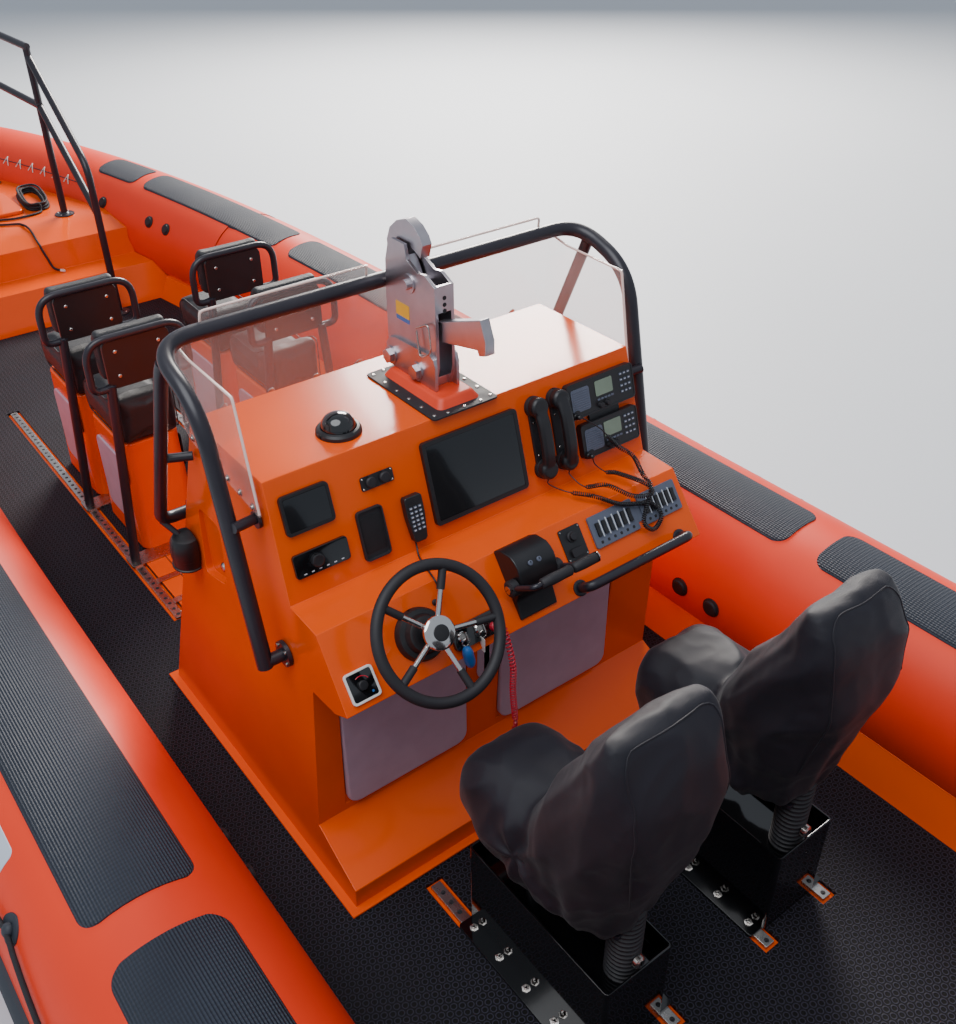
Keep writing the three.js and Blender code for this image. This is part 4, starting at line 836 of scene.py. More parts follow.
def skin(rings, sides=56):
    def where(u, v):
        centre, out, radius = rings[round(u * (len(rings) - 1))]
        angle = 2 * math.pi * v
        return centre + out * radius * math.sin(angle) + Vector((0, 0, radius * math.cos(angle)))
    return wrapped(len(rings) - 1, sides, where)


for side_name, line in collar_lines.items():
    stern, out = line[0]
    rings = [(Vector((x, stern.y, stern.z)), out, r) for x, r in CONE]
    rings += tube_rings(line, -2.96, SEAM_X)
    rings[-1] = (rings[-1][0] - Vector((0.001, 0, 0)), rings[-1][1], TUBE_R - 0.004)
    keep(skin(rings), f"collar_tube_{side_name}", collar_fabric, smooth=50,
         stands_for=[f"collar_{side_name}"])

port_bow = tube_rings(collar_lines["port"], SEAM_X, 6.5)
starboard_bow = tube_rings(collar_lines["starboard"], SEAM_X, 6.39)
keep(skin(port_bow + starboard_bow[::-1]), "collar_tube_bow", collar_fabric, smooth=50,
     stands_for=["collar_bow"])


# %% [markdown]
# The rubbing strake is a heavy moulded strip glued round the outside of the collar at half height.
# It is one closed section carried along the same line.

# %% Rubbing strake
STRAKE = [(0.285, -0.047), (0.311, -0.046), (0.324, -0.034), (0.331, -0.02), (0.327, -0.008),
          (0.327, 0.008), (0.331, 0.02), (0.324, 0.034), (0.311, 0.046), (0.285, 0.047)]


def strake(rings, name):
    count = len(STRAKE)

    def where(u, v):
        centre, out, _ = rings[round(u * (len(rings) - 1))]
        a, b = STRAKE[round(v * count) % count]
        return centre + out * a + Vector((0, 0, b))
    keep(wrapped(len(rings) - 1, count, where), name, soft_strake, smooth=25)


soft_strake = coat("moulded_strake_rubber", "collar_fabric", "#2A2F38", "#1F232B", 0.6, 200, 2, 0.08)
for side_name, line in collar_lines.items():
    strake(tube_rings(line, -2.96, SEAM_X), f"strake_{side_name}")
strake(port_bow + starboard_bow[::-1], "strake_bow")

# %% [markdown]
# ## Rub patches
# Long black patches protect the top of the tubes where the crew step and sit. Each is a sheet with
# round corners, four millimetres proud, with its outermost row tucked into the tube.

# %% Rub patches
PATCHES = [(-2.93, -2.41), (-2.3, -0.7), (-0.575, 1.06), (1.18, 2.82), (2.95, 4.33), (4.42, 4.8)]
CORNER = 0.05


def patch(line, first, last, low, high, name, finish, proud=0.004, corner=CORNER):
    """A sheet on the tube between two stations and two angles, with round corners."""
    length = last - first
    arc = math.radians(high - low) * TUBE_R
    columns = 20 + max(4, int(length / 0.04))
    spots = []

    def where(u, v):
        rim = u < 1e-4 or u > 0.9999 or v < 1e-4 or v > 0.9999
        index = round(u * columns)
        from_near = min(index, columns - index)
        ends = corner * (1 - math.cos(math.pi / 2 * min(from_near, 10) / 10))
        middle = corner + (length - 2 * corner) * (index - 10) / (columns - 20)
        run = middle if from_near >= 10 else ends if index < 10 else length - ends
        short = max(0.0, corner - min(run, length - run))
        pinch = corner - math.sqrt(max(0.0, corner ** 2 - short ** 2))
        across = (2 * v - 1) * (arc / 2 - pinch)
        spots.append((run, across + arc / 2))
        degrees = (low + high) / 2 + math.degrees(across / TUBE_R)
        return on_collar(line, first + run, degrees, TUBE_R + (-0.003 if rim else proud))
    obj = wrapped(columns, 22, where, close=False)
    for loop, spot in zip(obj.data.loops, obj.data.uv_layers[0].data):
        spot.uv = spots[loop.vertex_index]
    return keep(obj, name, finish, smooth=40)


tape = coat("reflective_tape", "collar_fabric", "#C6CCD6", "#B4BBC7", 0.3, 300, 1, 0.03)
for side_name, line in collar_lines.items():
    low, high = (-31, 27) if side_name == "port" else (-28, 15)
    for number, (first, last) in enumerate(PATCHES):
        patch(line, first, last, low, high, f"rub_patch_{side_name}_{number + 1}", ribbed_fabric)
    patch(line, -0.215, 0.085, 37, 56, f"collar_tape_{side_name}", tape, proud=0.0012, corner=0.02)
print("patches", 2 * len(PATCHES))

# %% [markdown]
# ## Deck mouldings and mat
# The liner, the foredeck and its hatch are laminate mouldings: their CAD shapes are right, and what
# they need is the round edge that a mould always has.

# %% Mouldings
for node, edge, rounds, body in [("deck_liner", 0.012, 3, "boat"), ("foredeck", 0.035, 4, "boat"),
                                 ("foredeck_hatch", 0.008, 3, "hatch_lid")]:
    dressed(node, gelcoat, edge, rounds, body)
clothed(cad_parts["hull"], hull_gelcoat)
clothed(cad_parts["deck_mat"], ring_mat)

# %% [markdown]
# ## Console
# The console is a laminate moulding with wide round edges. Foam pads for the knees are glued to its
# aft face, and a shallow recess with a latch is let into its port side.

# %% Console moulding and pads
def side_y(above):
    """Half the console's width at a height above the deck."""
    return 0.669 - 0.059 * (above + 0.05) / 1.4


console_skin = copy_of("console")
faces_before = len(console_skin.data.polygons)
corner = [(0.222, 1.158), (0.085, 1.157), (0.078, 0.963), (0.222, 0.925)]
cutter = drawn_out([tuple(p[:2]) for p in bent([(a, b, 0) for a, b in corner + corner[:2]], 0.03, 5)[1:-1]],
                   0.034)
upright = axes((1, 0, 0), (0, 0, 1), (0, -1, 0))
placed(cutter, moved(0, side_y(0.84) + 0.014, 0) @ upright)
apply_modifier(console_skin, "BOOLEAN", object=cutter, operation="DIFFERENCE", solver="EXACT")
bpy.data.objects.remove(cutter)
print("recess faces", faces_before, len(console_skin.data.polygons))
for near, far in ((0.13, 0.56), (-0.45, 0.0)):
    begin()
    bpy.ops.mesh.primitive_cube_add(size=1, location=(-0.4217, (near + far) / 2, DECK + 0.45),
                                    scale=(0.1, far - near + 0.006, 0.506))
    bpy.ops.object.transform_apply(location=True, rotation=False, scale=True)
    room = bpy.context.object
    apply_modifier(console_skin, "BOOLEAN", object=room, operation="DIFFERENCE", solver="EXACT")
    bpy.data.objects.remove(room)
keep(console_skin, "console_moulding", gelcoat, edge=0.012, rounds=3, stands_for=["console"])
latch = moved(0.114, side_y(0.831) - 0.016, 1.0) @ spun(-QUARTER, "X")
keep(turned([(0.016, 0), (0.016, 0.003), (0.012, 0.009), (0.006, 0.011)], 28), "side_latch", stainless,
     at=latch)
knee = face((-0.3715, DECK), (-0.3715, 1.0))
for name, y, s, width, height in [("port", 0.345, 0.45, 0.43, 0.5), ("starboard", -0.225, 0.45, 0.45, 0.5),
                                  ("middle", 0.055, 0.53, 0.07, 0.22)]:
    foam = slab(knee, y, s, width, height, 0.024, f"knee_pad_{name}", foam_pad, radius=0.04, edge=0.008,
                rounds=3)

# %% [markdown]
# ## Instruments on the upper panel
# Displays and radios are moulded cases with a raised rim round a glass front. Each is a plate whose
# top face is inset and sunk, and the glass lies in it. Keys and marks are rows of one small piece.

# %% Displays
for name, node, y, s, width, height, depth, border in [
        ("main_display", "display_main", 0.0, panel_s(1.098), 0.325, 0.24, 0.014, 0.012),
        ("small_display", "display_small", 0.518, panel_s(1.163), 0.14, 0.108, 0.012, 0.009)]:
    case = tray(width, height, depth, 0.012, border, 0.002)
    keep(case, name + "_case", moulded_abs, at=laid(panel, y, s), edge=0.0015, stands_for=[node])
    slab(panel, y, s, width - 2 * border - 0.001, height - 2 * border - 0.001, 0.0014, name + "_glass",
         screen_glass, lift=depth - 0.0016, edge=0.0004)


def grid_of(obj, where, across, up, lift):
    """Copies of a small piece at every crossing of two lists of places on a face."""
    return row_of(obj, [laid(where, y, s, lift) for y in across for s in up])


def spread(middle, pitch, count):
    return [middle + pitch * (k - (count - 1) / 2) for k in range(count)]


def key(width, height, depth=0.0022):
    return plate(width, height, min(width, height) * 0.3, depth)


# %% Radios
RADIOS = [(-0.475, panel_s(1.168), 0.262, 0.108), (-0.488, panel_s(1.043), 0.228, 0.106)]
cases, grilles, glasses, keys, marks, knobs, rings = [], [], [], [], [], [], []
for y, s, width, height in RADIOS:
    cases.append(placed(tray(width, height, 0.022, 0.012, 0.005, 0.0015), laid(panel, y, s)))
    left, right = y + width / 2, y - width / 2
    grilles += [placed(plate(0.07, 0.07, 0.008, 0.0015), laid(panel, left - 0.048, s, 0.0208)),
                grid_of(key(0.06, 0.003, 0.0025), panel, [left - 0.048], spread(s, 0.0068, 9), 0.021)]
    glasses.append(placed(plate(0.068, 0.046, 0.004, 0.0012), laid(panel, y - 0.01, s + 0.014, 0.0212)))
    columns, rows = spread(right + 0.036, 0.0155, 3), spread(s + 0.004, 0.018, 4)
    keys.append(grid_of(key(0.011, 0.0075), panel, columns, rows, 0.021))
    marks.append(grid_of(key(0.006, 0.0022, 0.0004), panel, columns, rows, 0.0231))
    keys.append(grid_of(key(0.0105, 0.006), panel, spread(y - 0.012, 0.0135, 5), [s - 0.02], 0.021))
    knobs += [placed(turned([(0.0095, 0), (0.0085, 0.012), (0.006, 0.013)], 20),
                     laid(panel, y + shift, s - 0.037, 0.0208)) for shift in (0.012, -0.016)]
    rings.append(placed(turned([(0.012, 0), (0.012, 0.004), (0.009, 0.005)], 20),
                        laid(panel, left - 0.026, s - 0.038, 0.0208)))
cases.append(placed(plate(0.12, 0.06, 0.006, 0.008), laid(panel, -0.485, panel_s(1.105))))
keep(cases, "radio_cases", moulded_abs, edge=0.0015, stands_for=["radios"])
for pieces, name, made, edge in [
        (grilles, "grilles", key_grey, 0.0004), (glasses, "screens", display_lcd, 0.0003),
        (keys, "keys", key_grey, 0.0005), (marks, "key_marks", key_pale, 0.0),
        (knobs, "knobs", soft_rubber, 0.0008), (rings, "sockets", soft_rubber, 0.0006)]:
    keep(pieces, "radio_" + name, made, edge=edge)
print("radios", len(RADIOS))

# %% [markdown]
# The handsets are hollow mouldings: two round ends joined by a curved grip. They are made from
# plain round pieces that overlap, remeshed into one skin and smoothed, as a moulding flows.

# %% Handsets
for name, y, lean in [("inboard", -0.23, 0.0), ("outboard", -0.31, 0.006)]:
    s = panel_s(1.105)
    parts = [placed(turned([(0.024, 0), (0.03, 0.006), (0.03, 0.026), (0.024, 0.034)], 32),
                    laid(panel, y, s + up, 0.01)) for up in (0.094, -0.094)]
    arch = [on_face(panel, y, s + up, lift + lean) for up, lift in
            [(0.104, 0.026), (0.07, 0.036), (0.035, 0.042), (-0.035, 0.042), (-0.07, 0.036), (-0.104, 0.026)]]
    for shift in (-0.009, 0.0, 0.009):
        parts.append(pipe(smooth_path([p + Vector((0, shift, 0)) for p in arch], 24)[0], 0.0125, 12))
    grip = apply_modifier(joined(parts), "REMESH", mode="VOXEL", voxel_size=0.0022)
    apply_modifier(grip, "SMOOTH", factor=0.6, iterations=8)
    keep(grip, f"handset_{name}_grip", moulded_abs, smooth=80)
    slab(panel, y, s, 0.046, 0.19, 0.0095, f"handset_{name}_cradle", soft_rubber, radius=0.012, edge=0.002,
         stands_for=[f"handset_{name}"])
    cups = [placed(turned([(0.031, 0.0), (0.031, 0.014), (0.027, 0.016)], 32), laid(panel, y, s + up, 0.0008))
            for up in (0.094, -0.094)]
    keep(cups, f"handset_{name}_cups", soft_rubber, edge=0.001)
    keep(row_of(screw(), [laid(panel, y + a, s + b, 0.0098) for a, b in
                          [(0.012, 0.05), (-0.012, 0.05), (0.012, -0.05), (-0.012, -0.05)]]),
         f"handset_{name}_screws", stainless)

# %% [markdown]
# The keypad microphone is a tapered case in a holder, with three columns of rubber keys.

# %% Keypad microphone
s = panel_s(1.035)
outline = [(-0.028, 0.06), (-0.023, 0.066), (0.023, 0.066), (0.028, 0.06), (0.028, 0.01), (0.021, -0.058),
           (0.015, -0.066), (-0.015, -0.066), (-0.021, -0.058), (-0.028, 0.01)][::-1]
keep(drawn_out(outline, 0.024), "keypad_mic_case", moulded_abs, at=laid(panel, 0.228, s, 0.006), edge=0.005,
     rounds=3, stands_for=["keypad_mic"])
slab(panel, 0.228, s + 0.03, 0.04, 0.06, 0.008, "keypad_mic_holder", soft_rubber)
columns, rows = spread(0.228, 0.014, 3), spread(s + 0.002, 0.0125, 6)
keep(grid_of(key(0.0105, 0.0075, 0.003), panel, columns, rows, 0.0285), "keypad_mic_keys", key_grey,
     edge=0.0008)
keep(grid_of(key(0.006, 0.003, 0.0004), panel, columns, rows, 0.0314), "keypad_mic_marks", key_pale)
keep(grid_of(key(0.034, 0.0022, 0.0012), panel, [0.228], spread(s + 0.05, 0.0045, 4), 0.0296),
     "keypad_mic_grille", soft_rubber)

# %% [markdown]
# Stereo, charging tray, socket plate and compass. The sockets have round covers with a thumb tab.

# %% Small fittings of the panel
s = panel_s(1.031)
slab(panel, 0.512, s, 0.16, 0.066, 0.01, "stereo_case", screen_glass, radius=0.01, edge=0.002,
     stands_for=["stereo"])
keep(turned([(0.018, 0), (0.0175, 0.011), (0.014, 0.0125), (0.01, 0.0115)], 32), "stereo_knob", moulded_abs,
     at=laid(panel, 0.528, s + 0.002, 0.0102), edge=0.0008)
keep(grid_of(key(0.008, 0.003, 0.0008), panel, spread(0.512, 0.022, 6), [s - 0.024], 0.0102), "stereo_marks",
     key_pale)
keep(tray(0.08, 0.142, 0.012, 0.012, 0.005, 0.008), "charging_tray", soft_rubber,
     at=laid(panel, 0.353, 0.101), edge=0.0015)
slab(panel, 0.353, 0.101, 0.062, 0.1, 0.0015, "charging_mat", moulded_abs, radius=0.008, lift=0.0043)
slab(panel, 0.306, 0.236, 0.1, 0.038, 0.004, "socket_plate", moulded_abs, radius=0.006)
keep(row_of(turned([(0.0155, 0), (0.0155, 0.006), (0.0125, 0.01), (0.004, 0.0105)], 28),
            [laid(panel, y, 0.236, 0.004) for y in (0.327, 0.285)]), "socket_covers", soft_rubber,
     edge=0.0006)
keep(row_of(key(0.01, 0.006, 0.006), [laid(panel, y, 0.253, 0.004) for y in (0.327, 0.285)]), "socket_tabs",
     soft_rubber, edge=0.0006)
keep(row_of(screw(0.0028), [laid(panel, y, s, 0.0042) for y in (0.35, 0.262) for s in (0.25, 0.222)]),
     "socket_screws", stainless)
dome = turned([(0.048, 0.0), (0.047, 0.018), (0.043, 0.032), (0.034, 0.044), (0.02, 0.051), (0.006, 0.0535)],
              36)
keep(dome, "compass_dome", screen_glass, at=moved(-0.123, 0.334, CONSOLE_TOP + 0.0006), smooth=60,
     stands_for=["compass"])
keep(turned([(0.062, 0), (0.061, 0.009), (0.056, 0.015), (0.049, 0.017), (0.0485, 0.012), (0.0485, 0.0)], 36),
     "compass_ring", moulded_abs, at=moved(-0.123, 0.334, CONSOLE_TOP + GAP), edge=0.001)

# %% [markdown]
# ## Lower dash
# Two switch panels of rockers, with a pale ridge between one and the next; the engine levers; the
# ignition panel with its keys, their float and tags; a trim panel and a gauge.

# %% Switch panels
plates, rockers, ridges, lamps = [], [], [], []
for y, width, height in [(-0.338, 0.172, 0.096), (-0.524, 0.154, 0.094)]:
    plates.append(placed(plate(width, height, 0.006, 0.008), laid(dash, y, 0.149)))
    across = spread(y, (width - 0.022) / 6, 6)
    for tilt, rise in [(0.1, 0.0105), (-0.1, -0.0105)]:
        half = placed(plate(0.0125, 0.0205, 0.002, 0.007), spun(tilt, "X"))
        rockers.append(row_of(half, [laid(dash, a, 0.153 + rise, 0.007) for a in across]))
    ridges.append(grid_of(plate(0.0034, 0.052, 0.0016, 0.0035), dash,
                          [(a + b) / 2 for a, b in zip(across, across[1:])], [0.153], 0.008))
    lamps.append(grid_of(key(0.0085, 0.0085, 0.0014), dash, across, [0.115], 0.008))
plates.append(placed(plate(0.06, 0.06, 0.004, 0.004), laid(dash, -0.435, 0.149)))
keep(plates, "switch_plates", key_grey, edge=0.0012, stands_for=["switch_panels"])
for pieces, name, made, edge in [(rockers, "rockers", moulded_abs, 0.0012),
                                 (ridges, "ridges", key_pale, 0.0008), (lamps, "lamps", soft_rubber, 0.0004)]:
    keep(pieces, "switch_" + name, made, edge=edge)

# %% [markdown]
# The engine control is one moulding that rises from the dash in a rounded hump, drawn out from its
# side view. A round hub crosses it, and from each end of the hub a lever leads up to its grip.

# %% Engine levers
housing = [(0.02, GAP), (0.225, GAP), (0.222, 0.035), (0.2, 0.072), (0.183, 0.082), (0.165, 0.087),
           (0.145, 0.085), (0.125, 0.078), (0.108, 0.066), (0.095, 0.05), (0.083, 0.03), (0.07, 0.018),
           (0.02, 0.008)]
edgewise = axes(dash["up"], dash["out"], (0, -1, 0))
keep(drawn_out(housing, 0.13), "throttle_housing", moulded_abs, at=moved(*on_face(dash, 0.072, 0)) @ edgewise,
     edge=0.009, rounds=4, smooth=50, stands_for=["throttle"])


def crosswise(y, s, lift):
    """The matrix of a turned piece whose axis runs to starboard across the dash."""
    return moved(*on_face(dash, y, s, lift)) @ edgewise


HUB_S, GRIP_S, HUB_LIFT, GRIP_LIFT = 0.118, 0.112, 0.05, 0.16
hubs = [placed(turned([(0.018, 0), (0.024, 0.004), (0.024, 0.024), (0.02, 0.027)], 28),
               crosswise(0.1, HUB_S, HUB_LIFT)),
        placed(turned([(0.02, 0), (0.024, 0.003), (0.024, 0.022), (0.018, 0.026)], 28),
               crosswise(-0.0585, HUB_S, HUB_LIFT))]
keep(hubs, "throttle_hubs", soft_rubber, edge=0.001)
keep(turned([(0.012, 0), (0.012, 0.002), (0.008, 0.003)], 24), "throttle_hub_cap", polished_steel,
     at=crosswise(0.1032, HUB_S, HUB_LIFT) @ spun(math.pi, "X") @ moved(0, 0, -0.003))
arms = [bent(route((dash, y, HUB_S, HUB_LIFT), (dash, y, GRIP_S, GRIP_LIFT), (dash, end, GRIP_S, GRIP_LIFT)),
             0.02) for y, end in [(0.088, 0.05), (-0.074, -0.074)]]
keep([pipe(arm, 0.008, 12) for arm in arms], "throttle_arms", tube_coat, smooth=60)
grips = [placed(turned([(0.01, 0), (0.0145, 0.005), (0.016, 0.04), (0.015, 0.08), (0.0155, length - 0.006),
                        (0.011, length)], 28), crosswise(y, GRIP_S, GRIP_LIFT))
         for y, length in [(0.066, 0.106), (-0.044, 0.086)]]
keep(grips, "throttle_grips", soft_rubber, smooth=50)
keep(row_of(turned([(0.0152, 0), (0.0152, 0.003), (0.008, 0.004)], 24),
            [crosswise(-0.1295, GRIP_S, GRIP_LIFT)]), "throttle_grip_end", polished_steel)
keep(row_of(turned([(0.0075, 0), (0.0075, 0.004), (0.005, 0.0055)], 16),
            [laid(dash, y, 0.165, 0.0868) for y in (0.028, -0.002)]), "throttle_buttons", key_grey,
     edge=0.0005)

# %% Trim panel and gauge
slab(dash, -0.183, 0.149, 0.078, 0.097, 0.004, "trim_plate", moulded_abs)
keep(turned([(0.016, 0), (0.016, 0.004), (0.012, 0.006), (0.011, 0.015), (0.009, 0.016)], 28), "trim_knob",
     soft_rubber, at=laid(dash, -0.183, 0.168, 0.0042), edge=0.0006)
slab(dash, -0.183, 0.122, 0.044, 0.024, 0.01, "trim_module", soft_rubber, lift=0.0042)
keep(row_of(screw(0.003), [laid(dash, -0.183 + a, 0.149 + b, 0.0042) for a in (0.033, -0.033)
                           for b in (0.042, -0.042)]), "trim_screws", stainless)
keep(tray(0.083, 0.084, 0.008, 0.01, 0.006, 0.003), "gauge_frame", white_plastic, at=laid(dash, 0.566, 0.06),
     edge=0.0015)
slab(dash, 0.566, 0.06, 0.07, 0.071, 0.0012, "gauge_face", screen_glass, lift=0.0055)
keep(turned([(0.013, 0), (0.0125, 0.008), (0.009, 0.01)], 28), "gauge_knob", moulded_abs,
     at=laid(dash, 0.566, 0.06, 0.0065), edge=0.0006)
arc = [on_face(dash, 0.566 + 0.024 * math.cos(math.radians(a)), 0.06 + 0.024 * math.sin(math.radians(a)),
               0.0068) for a in range(60, 151, 10)]
keep(pipe(arc, 0.0012, 8), "gauge_arc", kill_jacket)
keep(key(0.006, 0.006, 0.0012), "gauge_lamp", label_blue, at=laid(dash, 0.545, 0.036, 0.0064))

# %% [markdown]
# Two key switches and the kill switch share one panel. The keys hang from split rings, one with a
# foam float that keeps it from sinking and both with a blank tag.

# %% Ignition panel
slab(dash, 0.215, 0.055, 0.15, 0.064, 0.013, "ignition_plate", screen_glass, radius=0.01, edge=0.002,
     stands_for=["ignition_panel"])
keep(grid_of(turned([(0.0145, 0), (0.0145, 0.004), (0.011, 0.007), (0.009, 0.0068)], 28), dash,
             (0.206, 0.262), [0.056], 0.0135), "key_switches", polished_steel, edge=0.0005)
keep(turned([(0.014, 0), (0.013, 0.012), (0.01, 0.014)], 28), "kill_switch", kill_jacket,
     at=laid(dash, 0.162, 0.042, 0.0135), edge=0.0008)
keys, rings, tags = [], [], []
for y in (0.206, 0.262):
    keys.append(placed(plate(0.004, 0.026, 0.0015, 0.024), laid(dash, y, 0.056, 0.019)))
    centre = on_face(dash, y, 0.056, 0.036) + Vector((0, 0, -0.02))
    loop = [centre + Vector((0, 0.013 * math.sin(a), 0.013 * math.cos(a)))
            for a in np.linspace(0, 2 * math.pi, 22)]
    rings.append(pipe(loop, 0.0011, 8))
    hang = moved(*(centre + Vector((-0.004, 0.004, -0.012)))) @ spun(math.pi, "X")
    tags.append(placed(plate(0.022, 0.046, 0.004, 0.0018), hang @ spun(QUARTER, "X") @ moved(0, 0.02, 0)))
keep(keys, "ignition_keys", stainless, edge=0.0008)
keep(rings, "key_rings", stainless)
keep(tags, "key_tags", white_plastic, edge=0.0006)
float_top = on_face(dash, 0.262, 0.056, 0.046) + Vector((-0.006, 0.01, -0.03))
hang = moved(*float_top) @ spun(math.radians(168), "X")
keep(turned([(0.006, 0), (0.012, 0.006), (0.015, 0.02), (0.015, 0.056), (0.011, 0.07), (0.005, 0.075)], 28),
     "key_float", blue_float, at=hang, smooth=60)

# %% [markdown]
# ## Wheel
# The rim is a thick moulded ring. The spokes are polished rods that start on the hub, a little
# behind the rim, and wear a black sleeve over their outer third.

# %% Steering wheel
WHEEL = {"y": 0.367, "s": 0.11, "reach": 0.118, "radius": 0.173}
hub_seat = laid(dash, WHEEL["y"], WHEEL["s"], 0.0)
boss = [(0.072, GAP), (0.071, 0.012), (0.066, 0.022), (0.054, 0.025), (0.047, 0.043), (0.04, 0.046),
        (0.0215, 0.047), (0.0215, 0.0835)]
keep(turned(boss, 40), "wheel_boss", moulded_abs, at=hub_seat, edge=0.0015, stands_for=["helm_boss"])
keep(torus(WHEEL["radius"], 0.0155, 96, 24), "wheel_rim", soft_rubber,
     at=hub_seat @ moved(0, 0, WHEEL["reach"]), smooth=60, body="helm", stands_for=["helm_wheel"])
spokes, sleeves = [], []
for k in range(5):
    angle = math.radians(117 + 72 * k)
    way = Vector((-math.cos(angle), math.sin(angle), 0))
    root = Vector((0, 0, WHEEL["reach"] - 0.018)) + way * 0.026
    tip = Vector((0, 0, WHEEL["reach"])) + way * 0.166
    spokes.append(rod(root, tip, 0.0075, 20))
    sleeves.append(rod(root.lerp(tip, 0.6), tip, 0.0108, 20))
keep(spokes, "wheel_spokes", polished_steel, at=hub_seat, smooth=60, body="helm")
keep(sleeves, "wheel_sleeves", soft_rubber, at=hub_seat, smooth=60, edge=0.0015, body="helm")
hub = [(0.03, 0.0842), (0.034, 0.088), (0.034, 0.106), (0.045, 0.112), (0.044, 0.119), (0.036, 0.1245),
       (0.014, 0.126)]
keep(turned(hub, 40), "wheel_hub", polished_steel, at=hub_seat, edge=0.0012, body="helm")
keep(turned([(0.0215, 0.1262), (0.0215, 0.1274), (0.019, 0.1284), (0.004, 0.1288)], 36), "wheel_cap",
     moulded_abs, at=hub_seat, edge=0.0004, body="helm")
rail = bent(route(*[(dash, y, 0.024, lift) for y, lift in
                    [(-0.15, GAP), (-0.15, 0.052), (-0.552, 0.052), (-0.552, GAP)]]), 0.05)
keep(pipe(rail, 0.015, 20), "dash_rail", tube_coat, smooth=60, stands_for=["dash_grab_rail"])
keep(row_of(turned([(0.024, 0), (0.024, 0.004), (0.017, 0.007)], 24),
            [laid(dash, y, 0.024) for y in (-0.15, -0.552)]), "dash_rail_feet", tube_coat, edge=0.0008)
print("wheel spokes", len(spokes))

# %% [markdown]
# ## Tube frames
# The rail at the bow and the frame round the console are bent from round tube, coated in black.
# Each run is one pipe through its bends; welded feet and stubs are short pieces of the same finish.

# %% Console frame
BOLT_ANGLES = (0.8, 2.36, 3.93, 5.5)


def both_sides(make):
    return [piece for _, s in SIDES for piece in make(s)]


bar = [(-0.275, 0.7, 0.945), (-0.262, 0.7, 1.01), (-0.12, 0.7, 1.65), (0.113, 0.7, 1.73)]
tubes = [pipe(bent(bar + [(x, -y, z) for x, y, z in bar[::-1]], 0.11, 10), 0.022, 24)]
tubes += both_sides(lambda s: [
    rod((-0.275, s * 0.708, 0.96), (-0.275, s * 0.64, 0.96), 0.018, 20),
    rod((-0.212, s * 0.7, 1.358), (-0.19, s * 0.624, 1.347), 0.014, 16),
    pipe(bent([(0.06, s * 0.7, 1.7), (0.075, s * 0.704, 1.67), (0.333, s * 0.704, 1.08),
               (0.354, s * 0.6, 1.066)], 0.05, 8), 0.019, 20),
    rod((0.217, s * 0.704, 1.35), (0.18, s * 0.626, 1.35), 0.013, 16),
    rod((0.333, s * 0.702, 1.08), (0.292, s * 0.668, 1.032), 0.009, 12)])
keep(tubes, "console_frame_tubes", tube_coat, smooth=60, stands_for=["console_frame"])
feet = both_sides(lambda s: [rod((-0.275, s * 0.648, 0.96), (-0.275, s * 0.6365, 0.96), 0.038, 32),
                             rod((-0.19, s * 0.631, 1.342), (-0.19, s * 0.622, 1.342), 0.024, 28)])
keep(feet, "console_frame_feet", tube_coat, edge=0.002)
front = face((0.183, CONSOLE_TOP), (0.645, 0.205))
for side, s in SIDES:
    slab(front, s * 0.6, 0.423, 0.05, 0.138, 0.01, f"grab_rail_foot_{side}", tube_coat, edge=0.002)
    bolts = [moved(-0.275 + 0.028 * math.cos(a), s * 0.648, 0.96 + 0.028 * math.sin(a))
             @ spun(-s * QUARTER, "X") for a in BOLT_ANGLES]
    keep(row_of(screw(0.0055, 0.004), bolts), f"console_foot_bolts_{side}", stainless)

# %% Side lights
for side, s in SIDES:
    hood = turned([(0.05, 0), (0.0495, 0.004), (0.0465, 0.006), (0.0465, 0.034), (0.0495, 0.037),
                   (0.05, 0.062), (0.047, 0.09), (0.038, 0.106), (0.018, 0.1125)], 40)
    placed(hood, moved(0.293, s * 0.658, 0.93) @ spun(-0.115, "Y"))
    edit()
    bpy.ops.mesh.bisect(plane_co=(0, s * 0.638, 0), plane_no=(0, s, 0), use_fill=True, clear_inner=True)
    keep(done(), f"side_light_{side}", moulded_abs, edge=0.002)

# %% [markdown]
# The rail at the bow stands on four flanged feet and two forward posts. Its two hoops run round the
# front, and long legs lean aft to the cockpit floor.

# %% Bow rail
RAIL_R = 0.021
TOP, MID, FOOT = 1.62, 1.29, 0.6303


def rail_side(s):
    post, front_y = s * 0.4, s * 0.226
    return [rod((4.55, post, FOOT), (4.55, post, TOP), RAIL_R, 20),
            pipe(bent([(4.546, post, TOP - 0.06), (3.9, post, 1.08), (3.87, post, 0.206)], 0.09, 8), RAIL_R,
                 20), rod((4.55, post, MID), (3.89, post, 0.81), RAIL_R, 20),
            rod((5.48, front_y, FOOT), (5.48, front_y, TOP + 0.08), RAIL_R, 20)]


def rail_hoop(z, rise):
    half = [(4.53, 0.4, z), (5.5, 0.22, z + rise), (5.75, 0.12, z + rise + 0.015)]
    return pipe(bent(half + [(x, -y, h) for x, y, h in half[::-1]], 0.16, 10), RAIL_R, 20)


keep(both_sides(rail_side) + [rail_hoop(TOP, 0.09), rail_hoop(MID, 0.11)], "bow_rail_tubes", tube_coat,
     smooth=60, stands_for=["bow_rail"])
foot_places = both_sides(lambda s: [Vector((4.55, s * 0.4, FOOT)), Vector((3.87, s * 0.4, 0.2003)),
                                    Vector((5.48, s * 0.226, FOOT))])
keep(row_of(turned([(0.06, 0), (0.06, 0.006), (0.03, 0.009), (0.022, 0.016)], 36), foot_places),
     "bow_rail_feet", tube_coat, edge=0.001)
ring = [Vector((0.044 * math.cos(a), 0.044 * math.sin(a), 0.007)) for a in BOLT_ANGLES]
keep(row_of(screw(0.0065, 0.005), [place + spot for place in foot_places for spot in ring]), "bow_rail_bolts",
     stainless)

